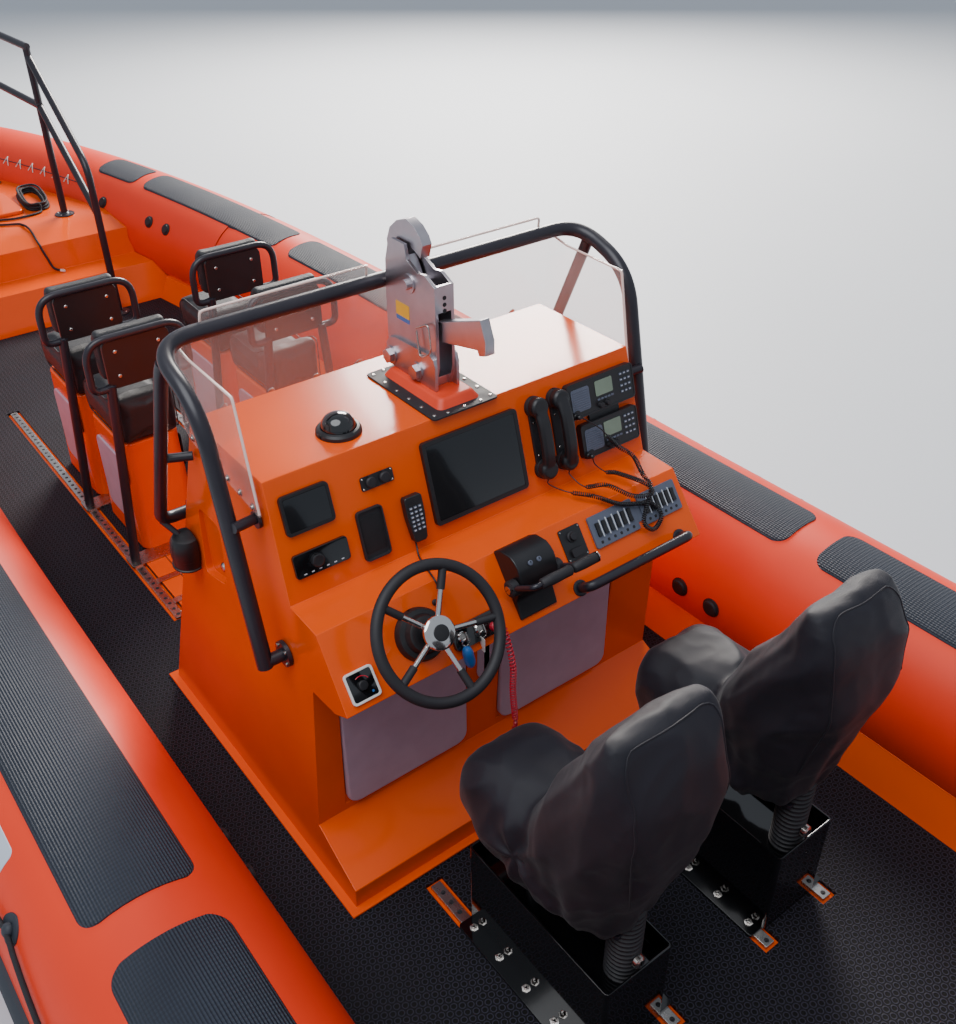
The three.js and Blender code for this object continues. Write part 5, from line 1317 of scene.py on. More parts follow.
# %% [markdown]
# ## Windscreen
# One acrylic panel bent round the front of the console top. A thin pale tube along its free edges
# is a painted highlight for the light that the sheet's cut edge gathers. It is held by screws with wide
# washers.

# %% Windscreen
dressed("windscreen", clear_acrylic, 0.001, 1)
# the path of a pale tube along the free edges: a painted highlight
edge = [(-0.221, 0.63, 1.374), (-0.163, 0.63, 1.677), (0.08, 0.63, 1.683), (0.146, 0.63, 1.697),
        (0.146, 0.562, 1.697), (0.131, 0.558, 1.773), (0.131, 0.062, 1.773), (0.146, 0.06, 1.697)]
keep(pipe(bent(edge + [(x, -y, z) for x, y, z in edge[::-1]], 0.012, 4), 0.0036, 8), "windscreen_edge_highlight",
     edge_highlight_finish, smooth=60)
spots = both_sides(lambda s: [moved(-0.2 + 0.066 * k, s * 0.6345, 1.389 + 0.0086 * k)
                              @ spun(-s * QUARTER, "X") for k in range(6)])
spots += [laid(front, y, 0.01, 0.009) for y in spread(0, 0.145, 8)]
keep(row_of(turned([(0.011, 0), (0.011, 0.002), (0.0065, 0.0025), (0.006, 0.006), (0.003, 0.0065)], 18),
            spots), "windscreen_screws", stainless)

# %% [markdown]
# ## Lifting hook
# The hook is cut from thick stainless plate: two cheeks, the hook blade between them and a shoe at
# each side, all bolted through. The lever behind opens it. It stands on a studded rubber frame
# round an orange boot.

# %% Lifting hook
HOOK_FOOT = 1.4926
dressed("lifting_hook", hook_steel, 0.0012, 2)
dressed("hook_lever", hook_steel, 0.0025, 3, body="hook_release")
keep(plate(0.34, 0.22, 0.012, 0.006), "hook_gasket_frame", soft_rubber,
     at=moved(-0.07, 0, CONSOLE_TOP + GAP), edge=0.002, stands_for=["hook_gasket"])
tapered(plate(0.29, 0.15, 0.02, 0.0295), 0.862, 0.733)
boot = done()
boot_rubber = coat("moulded_boot", "orange_moulding", "#E0401A", "#C9340F", 0.5, 60, 2, 0.04)
keep(boot, "hook_boot", boot_rubber, at=moved(-0.07, 0, CONSOLE_TOP + 0.0008), edge=0.008, rounds=4)
studs = [(a, b) for b in (0.095, -0.095) for a in spread(0, 0.06, 6)]
studs += [(a, b) for a in (0.158, -0.158) for b in spread(0, 0.055, 3)]
studs = [Vector((-0.07 + a, b, CONSOLE_TOP + 0.006)) for a, b in studs]
keep(row_of(turned([(0.0055, 0), (0.0055, 0.0012), (0.004, 0.003)], 14), studs), "hook_studs", stainless,
     edge=0.0006)
across = [moved(x, s * y, HOOK_FOOT + z) @ spun(-s * QUARTER, "X") for s in (1, -1) for x, y,
          z in [(0.063, 0.041, 0.03), (-0.066, 0.041, 0.03), (-0.029, 0.031, 0.271)]]
keep(row_of(turned([(0.027, 0), (0.027, 0.004), (0.018, 0.0045)], 28), across), "hook_washers", hook_steel,
     edge=0.0006)
sideways = axes((-1, 0, 0), (0, 0, 1), (0, 1, 0))
for name, film, low, high in [("upper", label_yellow, 0.163, 0.203), ("lower", label_blue, 0.15, 0.163)]:
    keep(plate(0.064, high - low, 0.003, 0.0006), f"hook_label_{name}", film,
         at=moved(0.008, 0.0311, HOOK_FOOT + (low + high) / 2) @ sideways)
loop = [(-0.072, 0.042, 0.161), (-0.128, 0.042, 0.192), (-0.139, 0.042, 0.11), (-0.085, 0.044, 0.08),
        (-0.072, 0.042, 0.155)]
keep(pipe(bent([(x, y, HOOK_FOOT + z) for x, y, z in loop], 0.016, 5), 0.0026, 10), "hook_clip", stainless,
     smooth=60)
backward = axes((0, -1, 0), (0, 0, 1), (-1, 0, 0))
# painted shade: thin near-black discs where the holes through the hook are
keep(row_of(turned([(0.006, 0), (0.006, 0.0006)], 18), [moved(-0.1471, 0, HOOK_FOOT + z) @ backward
                                                        for z in (0.262, 0.243, 0.226)]), "hook_hole_shade",
     soft_rubber)

# %% [markdown]
# ## Jockey seats
# Four narrow seats that are ridden like a saddle. Each is an orange moulded pod with a keyhole slot
# and a grip pad on each side, a padded saddle, and a padded back on a black hoop and two legs. They
# stand on stainless rails let into the mat. Between the rails, aft of the seats, the mat is left
# out, and the orange deck shows with its grooves, drawn as thin near-black strips of painted shade,
# and two cross bars.

# %% Pods and rails
SEAT_X = {"front": 1.94, "rear": 1.42}
SEAT_Y, SEAT_RAIL = 0.33, 0.19
MAT_BED, RAIL_TOP = 0.188, 0.2019  # the rails stand on the liner, in slots of the mat


# painted shade: a thin near-black disc stands where each hole of a rail is
def hole_shade_disc():
    return turned([(0.0075, 0), (0.0075, 0.0004)], 12)


def pod(x, y):
    tapered(plate(0.408, 0.256, 0.045, 0.5097, 5), 0.92, 0.922)
    bpy.ops.transform.translate(value=(-0.006, 0, 0))
    return placed(done(), moved(x + 0.212, y, DECK + GAP))


seats = [(row, side, SEAT_X[row], s * SEAT_Y) for row in SEAT_X for side, s in SIDES]
for side, s in SIDES:
    shells = [pod(x, y) for row, where, x, y in seats if where == side]
    keep(shells, f"seat_pods_{side}", gelcoat, edge=0.01, rounds=3, stands_for=[f"seat_bases_{side}"])
    for y in (SEAT_Y - SEAT_RAIL, SEAT_Y + SEAT_RAIL):
        inboard = "inner" if y < SEAT_Y else "outer"
        keep(plate(2.04, 0.034, 0.003, 0.014), f"seat_rail_{side}_{inboard}", stainless,
             at=moved(1.97, s * y, MAT_BED), edge=0.002)
holes = [Vector((0.97 + 0.04 * k, s * (SEAT_Y + shift), RAIL_TOP)) for k in range(51)
         for s in (1, -1) for shift in (-SEAT_RAIL, SEAT_RAIL)
         if min(abs(0.97 + 0.04 * k - x) for x in (1.912, 1.394)) > 0.05]
keep(row_of(hole_shade_disc(), holes), "seat_rail_shaded_holes", soft_rubber)

# %% Bare bays
bays, groove_shades, bars = [], [], []
for _, s in SIDES:
    bays.append(placed(plate(0.385, 0.316, 0.004, 0.0014), moved(1.187, s * SEAT_Y, DECK + GAP)))
    # painted shade: thin near-black strips where the grooves of the deck are
    groove_shades += [placed(plate(0.385, 0.004, 0.001, 0.0004),
                       moved(1.187, s * (SEAT_Y + y), DECK + 0.0017)) for y in (-0.075, 0.075)]
    bars += [placed(plate(0.03, 0.346, 0.003, 0.006), moved(x, s * SEAT_Y, DECK + 0.0022))
             for x in (1.209, 1.05)]
keep(bays, "deck_bays", gelcoat)
keep(groove_shades, "deck_bay_groove_shade", soft_rubber)
keep(bars, "deck_bay_bars", stainless, edge=0.001)
print("bays", len(bays), "bars", len(bars))

# %% Pads and slots
outward = {s: axes((-s, 0, 0), (0, 0, 1), (0, s, 0)) for s in (1, -1)}
pads, slot_shades = [], []
for row, side, x, y in seats:
    for s in (1, -1):
        pads.append(placed(plate(0.28, 0.34, 0.04, 0.0125, 6),
                           moved(x + 0.21, y + s * 0.1165, DECK + 0.26) @ outward[s]))
        # painted shade: a thin near-black plate stands in each keyhole slot
        slot_shades.append(placed(plate(0.03, 0.15, 0.0149, 0.0016, 6),
                            moved(x + 0.05, y + s * 0.1215, DECK + 0.4) @ outward[s]))
keep(pads, "seat_grip_pads", foam_pad, edge=0.005, rounds=3)
keep(slot_shades, "seat_slot_shade", soft_rubber)

# %% Hoops, legs and boards
HOOP = [(-0.12, 0.792), (-0.195, 0.792), (-0.195, 0.99), (0.195, 0.99), (0.195, 0.792), (0.12, 0.792)]
tubes, boards, screws, feet = [], [], [], []
for row, side, x, y in seats:
    at = x - 0.026
    hoop = [(at, y + a, DECK + b) for a, b in HOOP]
    tubes.append(pipe(bent(hoop, 0.1, 10), 0.0145, 20))
    tubes += [rod((at, y + s * 0.188, DECK + 0.008), (at, y + s * 0.125, DECK + 0.802), 0.019, 20)
              for s in (1, -1)]
    boards.append(placed(plate(0.262, 0.196, 0.03, 0.017, 5), moved(at + 0.0125, y, DECK + 0.884) @ backward))
    screws += [moved(at - 0.0045, y + a, DECK + 0.884 + b) @ backward for a in (0.085, -0.085)
               for b in (0.05, -0.05)]
    feet.append(placed(plate(0.09, 0.43, 0.01, 0.009), moved(at, y, DECK + 0.0005)))
keep(tubes, "seat_hoops", tube_coat, smooth=60)
keep(boards, "seat_boards", moulded_abs, edge=0.003)
keep(row_of(screw(0.0075, 0.004), screws), "seat_board_screws", stainless)
keep(feet, "seat_feet", stainless, edge=0.0015)

# %% [markdown]
# A padded seat is foam under a tight vinyl skin: crowned in the middle, pulled in at its seams. Its
# side view is drawn out and remeshed, cloth pressure swells it a little, and piping follows its
# edges afterwards. The swelling is held to a few millimetres, as on a tight cover.

# %% Padded saddles and backs
def swollen(obj, cap, voxel=0.006, pressure=4.0):
    """Foam under a tight skin: the shape remeshed, blown up by cloth pressure, and capped."""
    apply_modifier(obj, "REMESH", mode="VOXEL", voxel_size=voxel)
    start = np.array([vertex.co[:] for vertex in obj.data.vertices])
    only(obj)
    cloth = obj.modifiers.new("cloth", "CLOTH")
    cloth.settings.use_pressure = True
    cloth.settings.uniform_pressure_force = pressure
    cloth.settings.effector_weights.gravity = 0
    scene = bpy.context.scene
    for step in range(1, 21):
        scene.frame_set(step)
    blown = obj.evaluated_get(bpy.context.evaluated_depsgraph_get()).data
    swell = np.array([vertex.co[:] for vertex in blown.vertices]) - start
    reach = np.linalg.norm(swell, axis=1, keepdims=True)
    swell *= np.minimum(1.0, cap / np.maximum(reach, 1e-9))
    obj.modifiers.remove(cloth)
    scene.frame_set(1)
    for vertex, place in zip(obj.data.vertices, start + swell):
        vertex.co = place
    return apply_modifier(obj, "SMOOTH", factor=0.5, iterations=6)


def side_view(points, width, base, round_by):
    """A side view in x and z drawn out across the boat, centred on zero, with its edges rounded."""
    obj = placed(drawn_out([(x, base + z) for x, z in points], width), moved(0, width / 2, 0) @ upright)
    return apply_modifier(obj, "BEVEL", width=round_by, segments=3, limit_method="ANGLE",
                          angle_limit=math.radians(50))


BASE = DECK + 0.5103
saddle = side_view([(0.004, 0.006), (0.388, 0.006), (0.412, 0.115), (0.395, 0.15), (0.345, 0.166), (0.24, 0.16),
                    (0.145, 0.156), (0.09, 0.178), (0.042, 0.212), (0.012, 0.212), (0.0, 0.195)],
                   0.232, BASE, 0.018)
back = side_view([(-0.004, 0.812), (0.06, 0.812), (0.064, 0.9), (0.062, 0.98), (0.04, 1.008), (-0.004, 1.01)],
                 0.284, DECK, 0.016)
for obj, name, node in [(swollen(saddle, 0.008), "saddle", "seat_saddle"),
                        (swollen(back, 0.006), "seat_pad", "seat_back")]:
    for row, side, x, y in seats:
        piece = keep(twin(obj), f"{name}_{row}_{side}", grained_vinyl, at=moved(x, y, 0), smooth=70,
                     stands_for=[f"{node}_{row}_{side}"])
    bpy.data.objects.remove(obj)


def piping(corners, radius=0.0026):
    loop = bent(corners + corners[:2], 0.03, 6)[1:-1]
    return pipe(loop + loop[:1], radius, 8)


SADDLE_SEAM = [(0.006, 0.016), (0.386, 0.016), (0.408, 0.118), (0.345, 0.166), (0.145, 0.158), (0.042, 0.212),
               (0.002, 0.206)]
BACK_SEAM = [(0.132, 0.824), (0.132, 0.99), (-0.132, 0.99), (-0.132, 0.824)]
lines = []
for row, side, x, y in seats:
    lines += [piping([(x + a, y + s * 0.113, BASE + b) for a, b in SADDLE_SEAM]) for s in (1, -1)]
    lines.append(piping([(x + 0.0665 - 0.004, y + a, DECK + b) for a, b in BACK_SEAM]))
keep(lines, "seat_piping", grained_vinyl, smooth=60)
print("jockey seats", len(seats))

# %% [markdown]
# ## Helm seats
# Each stands on an open-topped steel box with a bolted foot. A sprung post and an arm carry the
# seat, with a ribbed rubber gaiter over the spring. The seat is under a loose cover of proofed
# polyester: it bulges over the squab, is drawn in at the waist, and hangs in folds to its hem.

# %% Pedestals
HELM_Y, PEDESTAL_X, RAIL_Y = 0.312, -1.06, 0.125
for side, s in SIDES:
    y = s * HELM_Y
    box = tray(0.54, 0.222, 0.311, 0.012, 0.006, 0.07)
    keep(box, f"pedestal_{side}", gloss_powder, at=moved(PEDESTAL_X, y, DECK + 0.004), edge=0.0018,
         stands_for=[f"helm_pedestal_{side}"])
    keep(plate(0.53, 0.312, 0.01, 0.0095), f"pedestal_foot_{side}", gloss_powder,
         at=moved(PEDESTAL_X, y, DECK + GAP), edge=0.0015)
    bolts = [Vector((x, y + a, DECK + 0.0098)) for x in spread(PEDESTAL_X, 0.115, 5) for a in (0.126, -0.126)]
    keep(row_of(turned([(0.013, 0), (0.013, 0.002), (0.0085, 0.0022), (0.0085, 0.009), (0.006, 0.0105)], 6),
                bolts), f"pedestal_bolts_{side}", stainless, edge=0.0006)
    for a in (RAIL_Y, -RAIL_Y):
        edge_name = "outer" if a > 0 else "inner"
        keep(plate(0.73, 0.034, 0.003, 0.014), f"helm_rail_{side}_{edge_name}", stainless,
             at=moved(-1.005, y + s * a, MAT_BED), edge=0.002)
        keep(plate(0.19, 0.0595, 0.002, 0.0119), f"mat_infill_{side}_{edge_name}", ring_mat,
             at=moved(-1.4745, y + s * a, MAT_BED))
    # painted shade: near-black discs in the holes of the rails
    holes = [Vector((x, y + a, RAIL_TOP)) for x in (-1.355, -0.76, -0.72, -0.68) for a in (RAIL_Y, -RAIL_Y)]
    keep(row_of(hole_shade_disc(), holes), f"helm_rail_shaded_holes_{side}", soft_rubber)
    ribs = [(0.034, 0.0)]
    for k in range(16):
        ribs += [(0.045, 0.005 + 0.0165 * k), (0.045, 0.01 + 0.0165 * k), (0.038, 0.0145 + 0.0165 * k)]
    keep(turned(ribs + [(0.034, 0.27)], 32), f"seat_gaiter_{side}", soft_rubber, smooth=25,
         at=moved(-1.268, y, DECK + 0.2455))
    bracket = [placed(plate(0.06, 0.044, 0.004, 0.004), moved(-1.3, y, DECK + 0.2455)),
               placed(plate(0.052, 0.044, 0.004, 0.004), moved(-1.327, y, DECK + 0.274) @ spun(QUARTER, "Y"))]
    keep(bracket, f"seat_bracket_{side}", stainless, edge=0.001)
    for name, start, end, radius, sides, made in [
            ("post", (-1.275, 0.012), (-1.268, 0.305), 0.03, 28, polished_steel),
            ("post_top", (-1.267, 0.5), (-1.265, 0.64), 0.026, 28, polished_steel),
            ("arm", (-0.86, 0.012), (-1.02, 0.634), 0.022, 24, tube_coat)]:
        (x, low), (far, high) = start, end
        keep(rod((x, y, DECK + low), (far, y, DECK + high), radius, sides), f"seat_{name}_{side}", made,
             smooth=60)
    knob = turned([(0.01, 0), (0.018, 0.003), (0.018, 0.014), (0.012, 0.018)], 24)
    keep(knob, f"seat_valve_{side}", stainless, at=moved(-1.311, y, DECK + 0.34) @ backward, edge=0.001)
    keep(plate(0.338, 0.108, 0.01, 0.013), f"seat_plate_{side}", tube_coat,
         at=moved(-1.12, y, DECK + 0.4315), edge=0.0015)

# %% [markdown]
# The cover is one cut sheet, sewn to the shape of the seat. Two closed forms, the squab and the
# back, are made one and swelled by cloth pressure. It is opened underneath, its folds are drawn as
# waves that fade upward and as creases, and a fine thickness is added inward: a cloth edge at the hem.

# %% Covers
COVER = {  # level sections above the deck: aft edge, fore edge, half width
    "squab": [(0.42, -1.235, -0.79, 0.135), (0.5, -1.25, -0.748, 0.162), (0.59, -1.2, -0.746, 0.166),
              (0.655, -1.16, -0.775, 0.145), (0.7, -1.08, -0.85, 0.09)],
    "back": [(0.432, -1.286, -1.0, 0.108), (0.58, -1.318, -0.985, 0.156), (0.72, -1.362, -1.034, 0.168),
             (0.9, -1.398, -1.122, 0.168), (1.02, -1.384, -1.188, 0.163), (1.1, -1.346, -1.234, 0.155),
             (1.144, -1.312, -1.256, 0.14)],
}


def section(rows, share):
    """A level section between the listed ones, eased like cloth pulled over an edge."""
    at = share * (len(rows) - 1)
    low = min(int(at), len(rows) - 2)
    before, after = rows[max(low - 1, 0)], rows[min(low + 2, len(rows) - 1)]
    return [eased(*four, at - low) for four in zip(before, rows[low], rows[low + 1], after)]


def lofted(rows, power, columns=72, levels=48):
    """A closed form through level sections, drawn together at both ends."""
    def where(u, v):
        rise, aft, fore, half = section(rows, min(max((v - 0.08) / 0.84, 0.0), 1.0))
        shut = min(1.0, v / 0.08, (1 - v) / 0.08)
        angle = 2 * math.pi * u
        turn, swing = math.cos(angle), math.sin(angle)
        x = (aft + fore) / 2 + (fore - aft) / 2 * math.copysign(abs(turn) ** power, turn) * shut
        y = half * math.copysign(abs(swing) ** power, swing) * shut
        return Vector((x, y, DECK + rise + 0.01 * (1 - shut * shut) * (1 if v > 0.5 else -1)))
    return wrapped(columns, levels, where)


def fold_lines(point, seed):
    """Folds: waves round the hem that fade upward, and sharp-crested creases all over."""
    angle = math.atan2(point.y, point.x + 1.13)
    fade = min(1.0, max(0.0, (DECK + 0.78 - point.z) / 0.32))
    waves = 0.0065 * math.sin(9 * angle + seed) + 0.0045 * math.sin(16 * angle + 2.1 * seed + 14 * point.z)
    pull = Vector((point.x * 5 + point.z * 4, point.y * 6, point.z * 3.2 - point.x * 2)) + Vector((seed, 0,
                                                                                                   seed))
    crease = 0.22 - abs(noise.noise(pull))
    fine = 0.2 - abs(noise.noise(pull * 2.4))
    rise, run = point.z - DECK - 0.565, point.x + 1.035
    near = max(0.0, 1.0 - math.hypot(rise, run) / 0.26) * min(1.0, abs(point.y) / 0.11)
    star = abs(math.sin(2.5 * math.atan2(rise, run) + 0.6)) - 0.45
    return 0.8 * fade * waves + 0.024 * crease + 0.008 * fine * (0.5
                                                                 + fade) - 0.02 * near * star - 0.008 * near


for side, s, seed in (("port", 1, 0.4), ("starboard", -1, 2.7)):
    forms = [lofted(COVER["squab"], 0.52), lofted(COVER["back"], 0.44)]
    cover = swollen(joined(forms), 0.01, voxel=0.009, pressure=1.4)
    pick(cover, lambda polygon: polygon.normal.z < -0.75 and polygon.center.z < DECK + 0.445)
    bpy.ops.mesh.delete(type="FACE")
    done()
    apply_modifier(cover, "SMOOTH", factor=0.5, iterations=5)
    for vertex, normal in [(v, v.normal.copy()) for v in cover.data.vertices]:
        vertex.co += normal * (fold_lines(vertex.co, seed) - 0.004)
    apply_modifier(cover, "SUBSURF", levels=1, render_levels=1)
    area = sum(polygon.area for polygon in cover.data.polygons)
    apply_modifier(cover, "SOLIDIFY", thickness=0.0016, offset=-1)
    keep(cover, f"seat_cover_{side}", cover_cloth, at=moved(0, s * HELM_Y, 0), smooth=80,
         stands_for=[f"helm_seat_cover_{side}"])
    seam = []
    for turn in [math.pi * (step / 40) for step in range(41)]:
        lean, up = math.cos(turn), math.sin(turn)
        spot = Vector((-1.43 + 0.08 * up ** 4, 0.178 * math.copysign(abs(lean) ** 0.35, lean) + s * HELM_Y,
                       DECK + 0.62 + 0.56 * up ** 0.35))
        seam.append(cover.closest_point_on_mesh(spot)[1])
    keep(pipe(smooth_path(seam, 90)[0], 0.0024, 8), f"cover_seam_{side}", cover_cloth, smooth=60)
    print(cover.name, len(cover.data.polygons), "faces, cloth", round(area, 2), "m2")

# %% [markdown]
# ## Fittings of the collar and bow
# Round valve caps, a lacing that closes a flap of the bow, and the grab lines: rope that hangs in
# shallow bights between glued patches. Each is set square to the round of the tube.

# %% Valve caps
def facing(place, way):
    """The matrix of a turned piece that stands there and points that way."""
    return moved(*place) @ way.normalized().to_track_quat("Z", "Y").to_matrix().to_4x4()


def stuck_on(line, x, degrees, reach=TUBE_R):
    place = on_collar(line, x, degrees, reach)
    return facing(place, place - on_collar(line, x, degrees, 0.0))


cap = [(0.036, -0.004), (0.036, 0.003), (0.029, 0.006), (0.027, 0.013), (0.021, 0.0155), (0.008, 0.014)]
spots = [stuck_on(line, x, angle) for line in collar_lines.values()
         for x, angle in [(-0.3, -90), (-0.451, -90), (1.9, -90), (3.906, -61), (4.089, -61), (4.591, -61)]]
keep(row_of(turned(cap, 28), spots), "valve_caps", soft_rubber, edge=0.001)

# %% Bow lacing
line = collar_lines["starboard"]
LACE_DEGREES, STITCH = -49, 0.121
keep(pipe([on_collar(line, 4.86 + 0.03 * k, LACE_DEGREES, TUBE_R + 0.001) for k in range(38)], 0.003, 8),
     "lace_seam", soft_strake, smooth=60)
stitches = []
for k in range(8):
    x = 4.996 + STITCH * k
    corners = [on_collar(line, x + run, LACE_DEGREES + turn, TUBE_R + rise) for run, turn, rise in
               [(-0.022, -6, 0.002), (-0.006, 1, 0.012), (0.01, 6, 0.004), (0.028, -5, 0.002)]]
    stitches.append(pipe(bent(corners, 0.02, 4), 0.0035, 8))
keep(stitches, "lace_stitches", lace_white, smooth=60)

# %% Grab lines
LIFELINE = {"lean": 58, "sag": 7, "rope": 0.007, "first": -2.7, "last": 5.1, "bay": 0.78}
for side_name, line in collar_lines.items():
    steps = 12 * round((LIFELINE["last"] - LIFELINE["first"]) / LIFELINE["bay"])
    path = []
    for k in range(steps + 1):
        x = LIFELINE["first"] + LIFELINE["bay"] * k / 12
        swing = abs(math.sin(math.pi * k / 12)) ** 0.8
        path.append(on_collar(line, x, LIFELINE["lean"] + LIFELINE["sag"] * swing, TUBE_R + 0.012))
    keep(pipe(path, LIFELINE["rope"], 12), f"grab_line_{side_name}", braided_rope, smooth=60,
         stands_for=[f"lifeline_{side_name}"])
    tabs = []
    for k in range(steps // 12 + 1):
        x = LIFELINE["first"] + LIFELINE["bay"] * k
        tabs.append(patch(line, x - 0.045, x + 0.045, LIFELINE["lean"] - 8, LIFELINE["lean"] + 8, "tab",
                          soft_strake, 0.0035))
        loop = turned([(0.017, 0), (0.019, 0.004), (0.017, 0.012), (0.011, 0.017), (0.004, 0.018)], 20)
        tabs.append(placed(loop, stuck_on(line, x, LIFELINE["lean"], TUBE_R + 0.002)))
    keep(tabs, f"grab_line_tabs_{side_name}", soft_strake, smooth=50)

# %% [markdown]
# The hatch lid has a pull ring at its aft edge and two hinges at its fore edge. Beside it lies a
# hank of mooring rope; its end runs round the hatch and down the step of the foredeck.

# %% Foredeck fittings
latch = moved(4.765, 0, 0.6548)
keep(tray(0.07, 0.055, 0.003, 0.012, 0.006, 0.002), "hatch_latch", stainless, at=latch, edge=0.0006,
     body="hatch_lid")
keep(torus(0.017, 0.0028, 32, 10), "hatch_pull", stainless, at=latch @ moved(0, 0, 0.0045), smooth=60,
     body="hatch_lid")
knuckles = [rod((5.183, y - 0.03, 0.648), (5.183, y + 0.03, 0.648), 0.006, 16) for y in (-0.12, 0.12)]
keep(knuckles, "hatch_knuckles", stainless, smooth=60)
rope_path = []
TURNS = [(0.0, 0.008), (0.015, 0.008), (0.03, 0.009), (0.022, 0.021), (0.008, 0.022), (0.016, 0.034),
         (0.028, 0.035), (0.006, 0.046)]
for k in range(len(TURNS) * 24 + 1):
    turn, share = divmod(k / 24, 1)
    now, then = TURNS[min(int(turn), len(TURNS) - 1)], TURNS[min(int(turn) + 1, len(TURNS) - 1)]
    ease = max(0.0, (share - 0.7) / 0.3)
    inset, height = (a + (b - a) * ease for a, b in zip(now, then))
    angle = math.pi + 2 * math.pi * k / 24
    a = (0.221 - inset) * math.copysign(abs(math.cos(angle)) ** 0.75, math.cos(angle))
    b = (0.081 - inset) * math.copysign(abs(math.sin(angle)) ** 0.6,
                                        math.sin(angle)) + 0.002 * math.sin(3 * angle + turn)
    rope_path.append(Vector((4.93 + a, -0.325 + b - 0.12 * a, 0.63 + height)))
rope_path += [Vector(p) for p in [(4.702, -0.306, 0.66), (4.69, -0.298, 0.64), (4.669, -0.29, 0.6382),
                                  (4.645, -0.23, 0.6382), (4.64, -0.12, 0.6382), (4.668, -0.03, 0.6382),
                                  (4.64, 0.02, 0.6382), (4.58, -0.01, 0.6382), (4.53, -0.1, 0.6382),
                                  (4.497, -0.119, 0.6382), (4.458, -0.132, 0.6335), (4.4, -0.138, 0.6165),
                                  (4.3, -0.13, 0.591), (4.247, -0.128, 0.578), (4.241, -0.132, 0.552),
                                  (4.229, -0.15, 0.49), (4.217, -0.165, 0.44), (4.203, -0.183, 0.425),
                                  (4.176, -0.204, 0.4215), (4.16, -0.214, 0.4212)]]
keep(turned([(0.0085, -0.03), (0.0085, -0.004), (0.007, 0.0), (0.003, 0.001)], 16), "rope_whipping",
     lace_white, at=facing(rope_path[-1], rope_path[-1] - rope_path[-2]), smooth=50)
strand("mooring_rope", smooth_path(rope_path, 900)[0], 0.007, braided_rope, ("rope_hank", "rope_tail"),
       far_end="fitting", stiffness="limp", lay="coiled", with_pieces=("rope_whipping",))

# %% [markdown]
# ## Outboards
# The engines aren't in the picture; they are drawn as the usual pair on such a boat. A cowl is a
# closed form through level sections, and so is the leg below it; the screw's blades are twisted
# sheets given a thickness. Each rides on its own body: bracket, engine and screw.

# %% Engines
COWL = [  # height, aft and fore edge from the steering axis, half width
    (0.52, -0.4, 0.078, 0.176), (0.58, -0.466, 0.093, 0.203), (0.7, -0.5, 0.094, 0.213),
    (0.82, -0.508, 0.088, 0.213), (0.96, -0.484, 0.064, 0.202), (1.05, -0.41, 0.0, 0.165),
    (1.082, -0.34, -0.06, 0.118),
]
PAN = [(0.44, -0.315, -0.03, 0.1), (0.49, -0.35, 0.066, 0.14), (0.52, -0.398, 0.08, 0.178),
       (0.545, -0.432, 0.088, 0.192)]
LEG = [(-0.7, -0.23, -0.135, 0.006), (-0.56, -0.258, -0.065, 0.034), (-0.44, -0.268, -0.07, 0.04),
       (-0.3, -0.258, -0.072, 0.04), (-0.2, -0.248, -0.062, 0.048), (0.2, -0.258, -0.048, 0.068),
       (0.43, -0.308, -0.048, 0.093), (0.47, -0.33, -0.04, 0.11),]
SWIVEL_X, ENGINE_Y, PROP_Z = -3.09, 0.35, -0.5


def engine_form(rows, y):
    return placed(lofted(rows, 0.7), moved(SWIVEL_X, y, -DECK))


def blade(turn):
    """One twisted blade: a grid from root to tip, with a thickness."""
    def where(u, v):
        radius = 0.04 + 0.138 * v
        chord = (0.03 + 0.052 * math.sin(math.pi * min(1.0, 0.18 + 0.8 * v))) * (2 * u - 1)
        pitch = math.atan2(0.34, 2 * math.pi * radius)
        lean = turn + chord * math.cos(pitch) / radius
        return Vector((chord * math.sin(pitch), radius * math.sin(lean), radius * math.cos(lean)))
    return apply_modifier(wrapped(12, 14, where, close=False), "SOLIDIFY", thickness=0.005, offset=0)


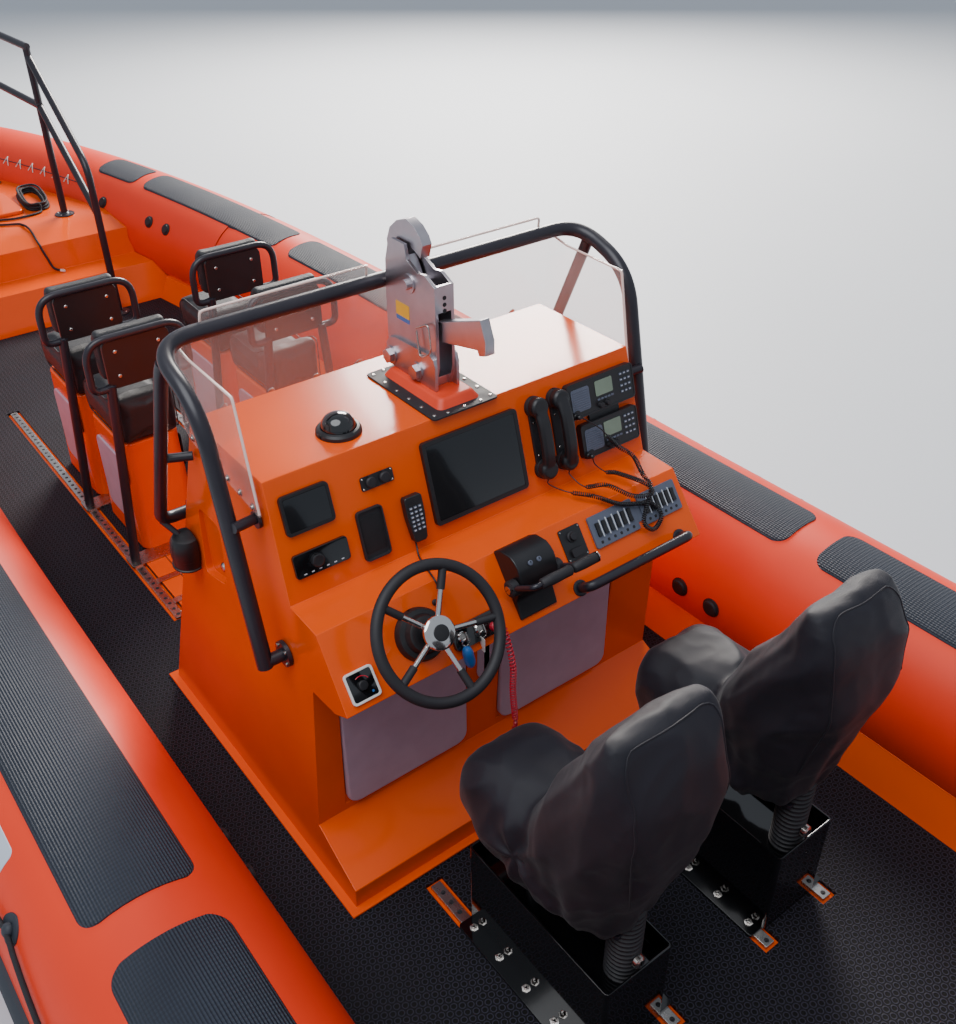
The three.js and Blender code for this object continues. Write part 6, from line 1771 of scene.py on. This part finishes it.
for side, s in SIDES:
    y = s * ENGINE_Y
    body = f"engine_{side}"
    for rows, name, made, node in [(COWL, "cowl", engine_enamel, [f"outboard_{side}"]),
                                   (PAN, "engine_pan", moulded_abs, ()),
                                   (LEG, "engine_leg", engine_enamel, ())]:
        keep(engine_form(rows, y), f"{name}_{side}", made, smooth=60, body=body, stands_for=node)
    fin = [(-0.45, -0.086), (-0.4, -0.094), (-0.08, -0.062), (-0.07, 0.0), (-0.08, 0.062), (-0.4, 0.094),
                     (-0.45, 0.086)]
    keep(drawn_out(fin, 0.009), f"engine_fin_{side}", engine_enamel, at=moved(SWIVEL_X, y, -0.299),
         edge=0.003, body=body)
    case = turned([(0.016, -0.02), (0.04, 0.02), (0.055, 0.08), (0.058, 0.14), (0.057, 0.3), (0.05, 0.338)],
                  32)
    keep(case, f"gearcase_{side}", engine_enamel, at=moved(SWIVEL_X + 0.03, y, PROP_Z) @ spun(-QUARTER, "Y"),
         smooth=60, body=body)
    keep(rod((SWIVEL_X, y, 0.02), (SWIVEL_X, y, 0.44), 0.02, 24), f"king_pin_{side}", stainless, smooth=60,
         body=body)
    for name, low, high in [("lower", 0.0, 0.0345), ("upper", 0.4055, 0.44)]:
        keep(plate(0.12, 0.1, 0.018, high - low), f"engine_yoke_{name}_{side}", engine_enamel,
             at=moved(SWIVEL_X - 0.03, y, low), edge=0.004, body=body)
    louvre = placed(plate(0.18, 0.01, 0.004, 0.006), spun(QUARTER, "X") @ moved(0, 0, -0.003))
    louvres = [moved(SWIVEL_X - 0.21, y + e * 0.2125, 0.785 + rise) for rise in (-0.024, 0.0, 0.024)
               for e in (1, -1)]
    keep(row_of(louvre, louvres), f"engine_vents_{side}", soft_rubber, edge=0.001, body=body)
    dressed(f"engine_clamp_{side}", engine_enamel, 0.005, 2)
    dressed(f"engine_swivel_{side}", engine_enamel, 0.002, 2, body=f"swivel_{side}")
    hub = turned([(0.05, 0), (0.05, 0.02), (0.045, 0.08), (0.042, 0.108), (0.034, 0.1095)], 36)
    keep([blade(math.radians(120 * k)) for k in range(3)], f"screw_blades_{side}", polished_steel,
         at=moved(SWIVEL_X - 0.371, y, PROP_Z), smooth=60, body=f"screw_{side}",
         stands_for=[f"propeller_{side}"])
    keep(hub, f"screw_hub_{side}", polished_steel, at=moved(SWIVEL_X - 0.3165, y, PROP_Z)
         @ spun(-QUARTER, "Y"), smooth=40, body=f"screw_{side}")
print("outboards 2")

# %% Finish
low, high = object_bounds()
{"cad": [list(cad_low), list(cad_high)], "visual": [list(low), list(high)]}
print("grown by", [round(a - b, 4) for a, b in zip(high - low, cad_high - cad_low)])
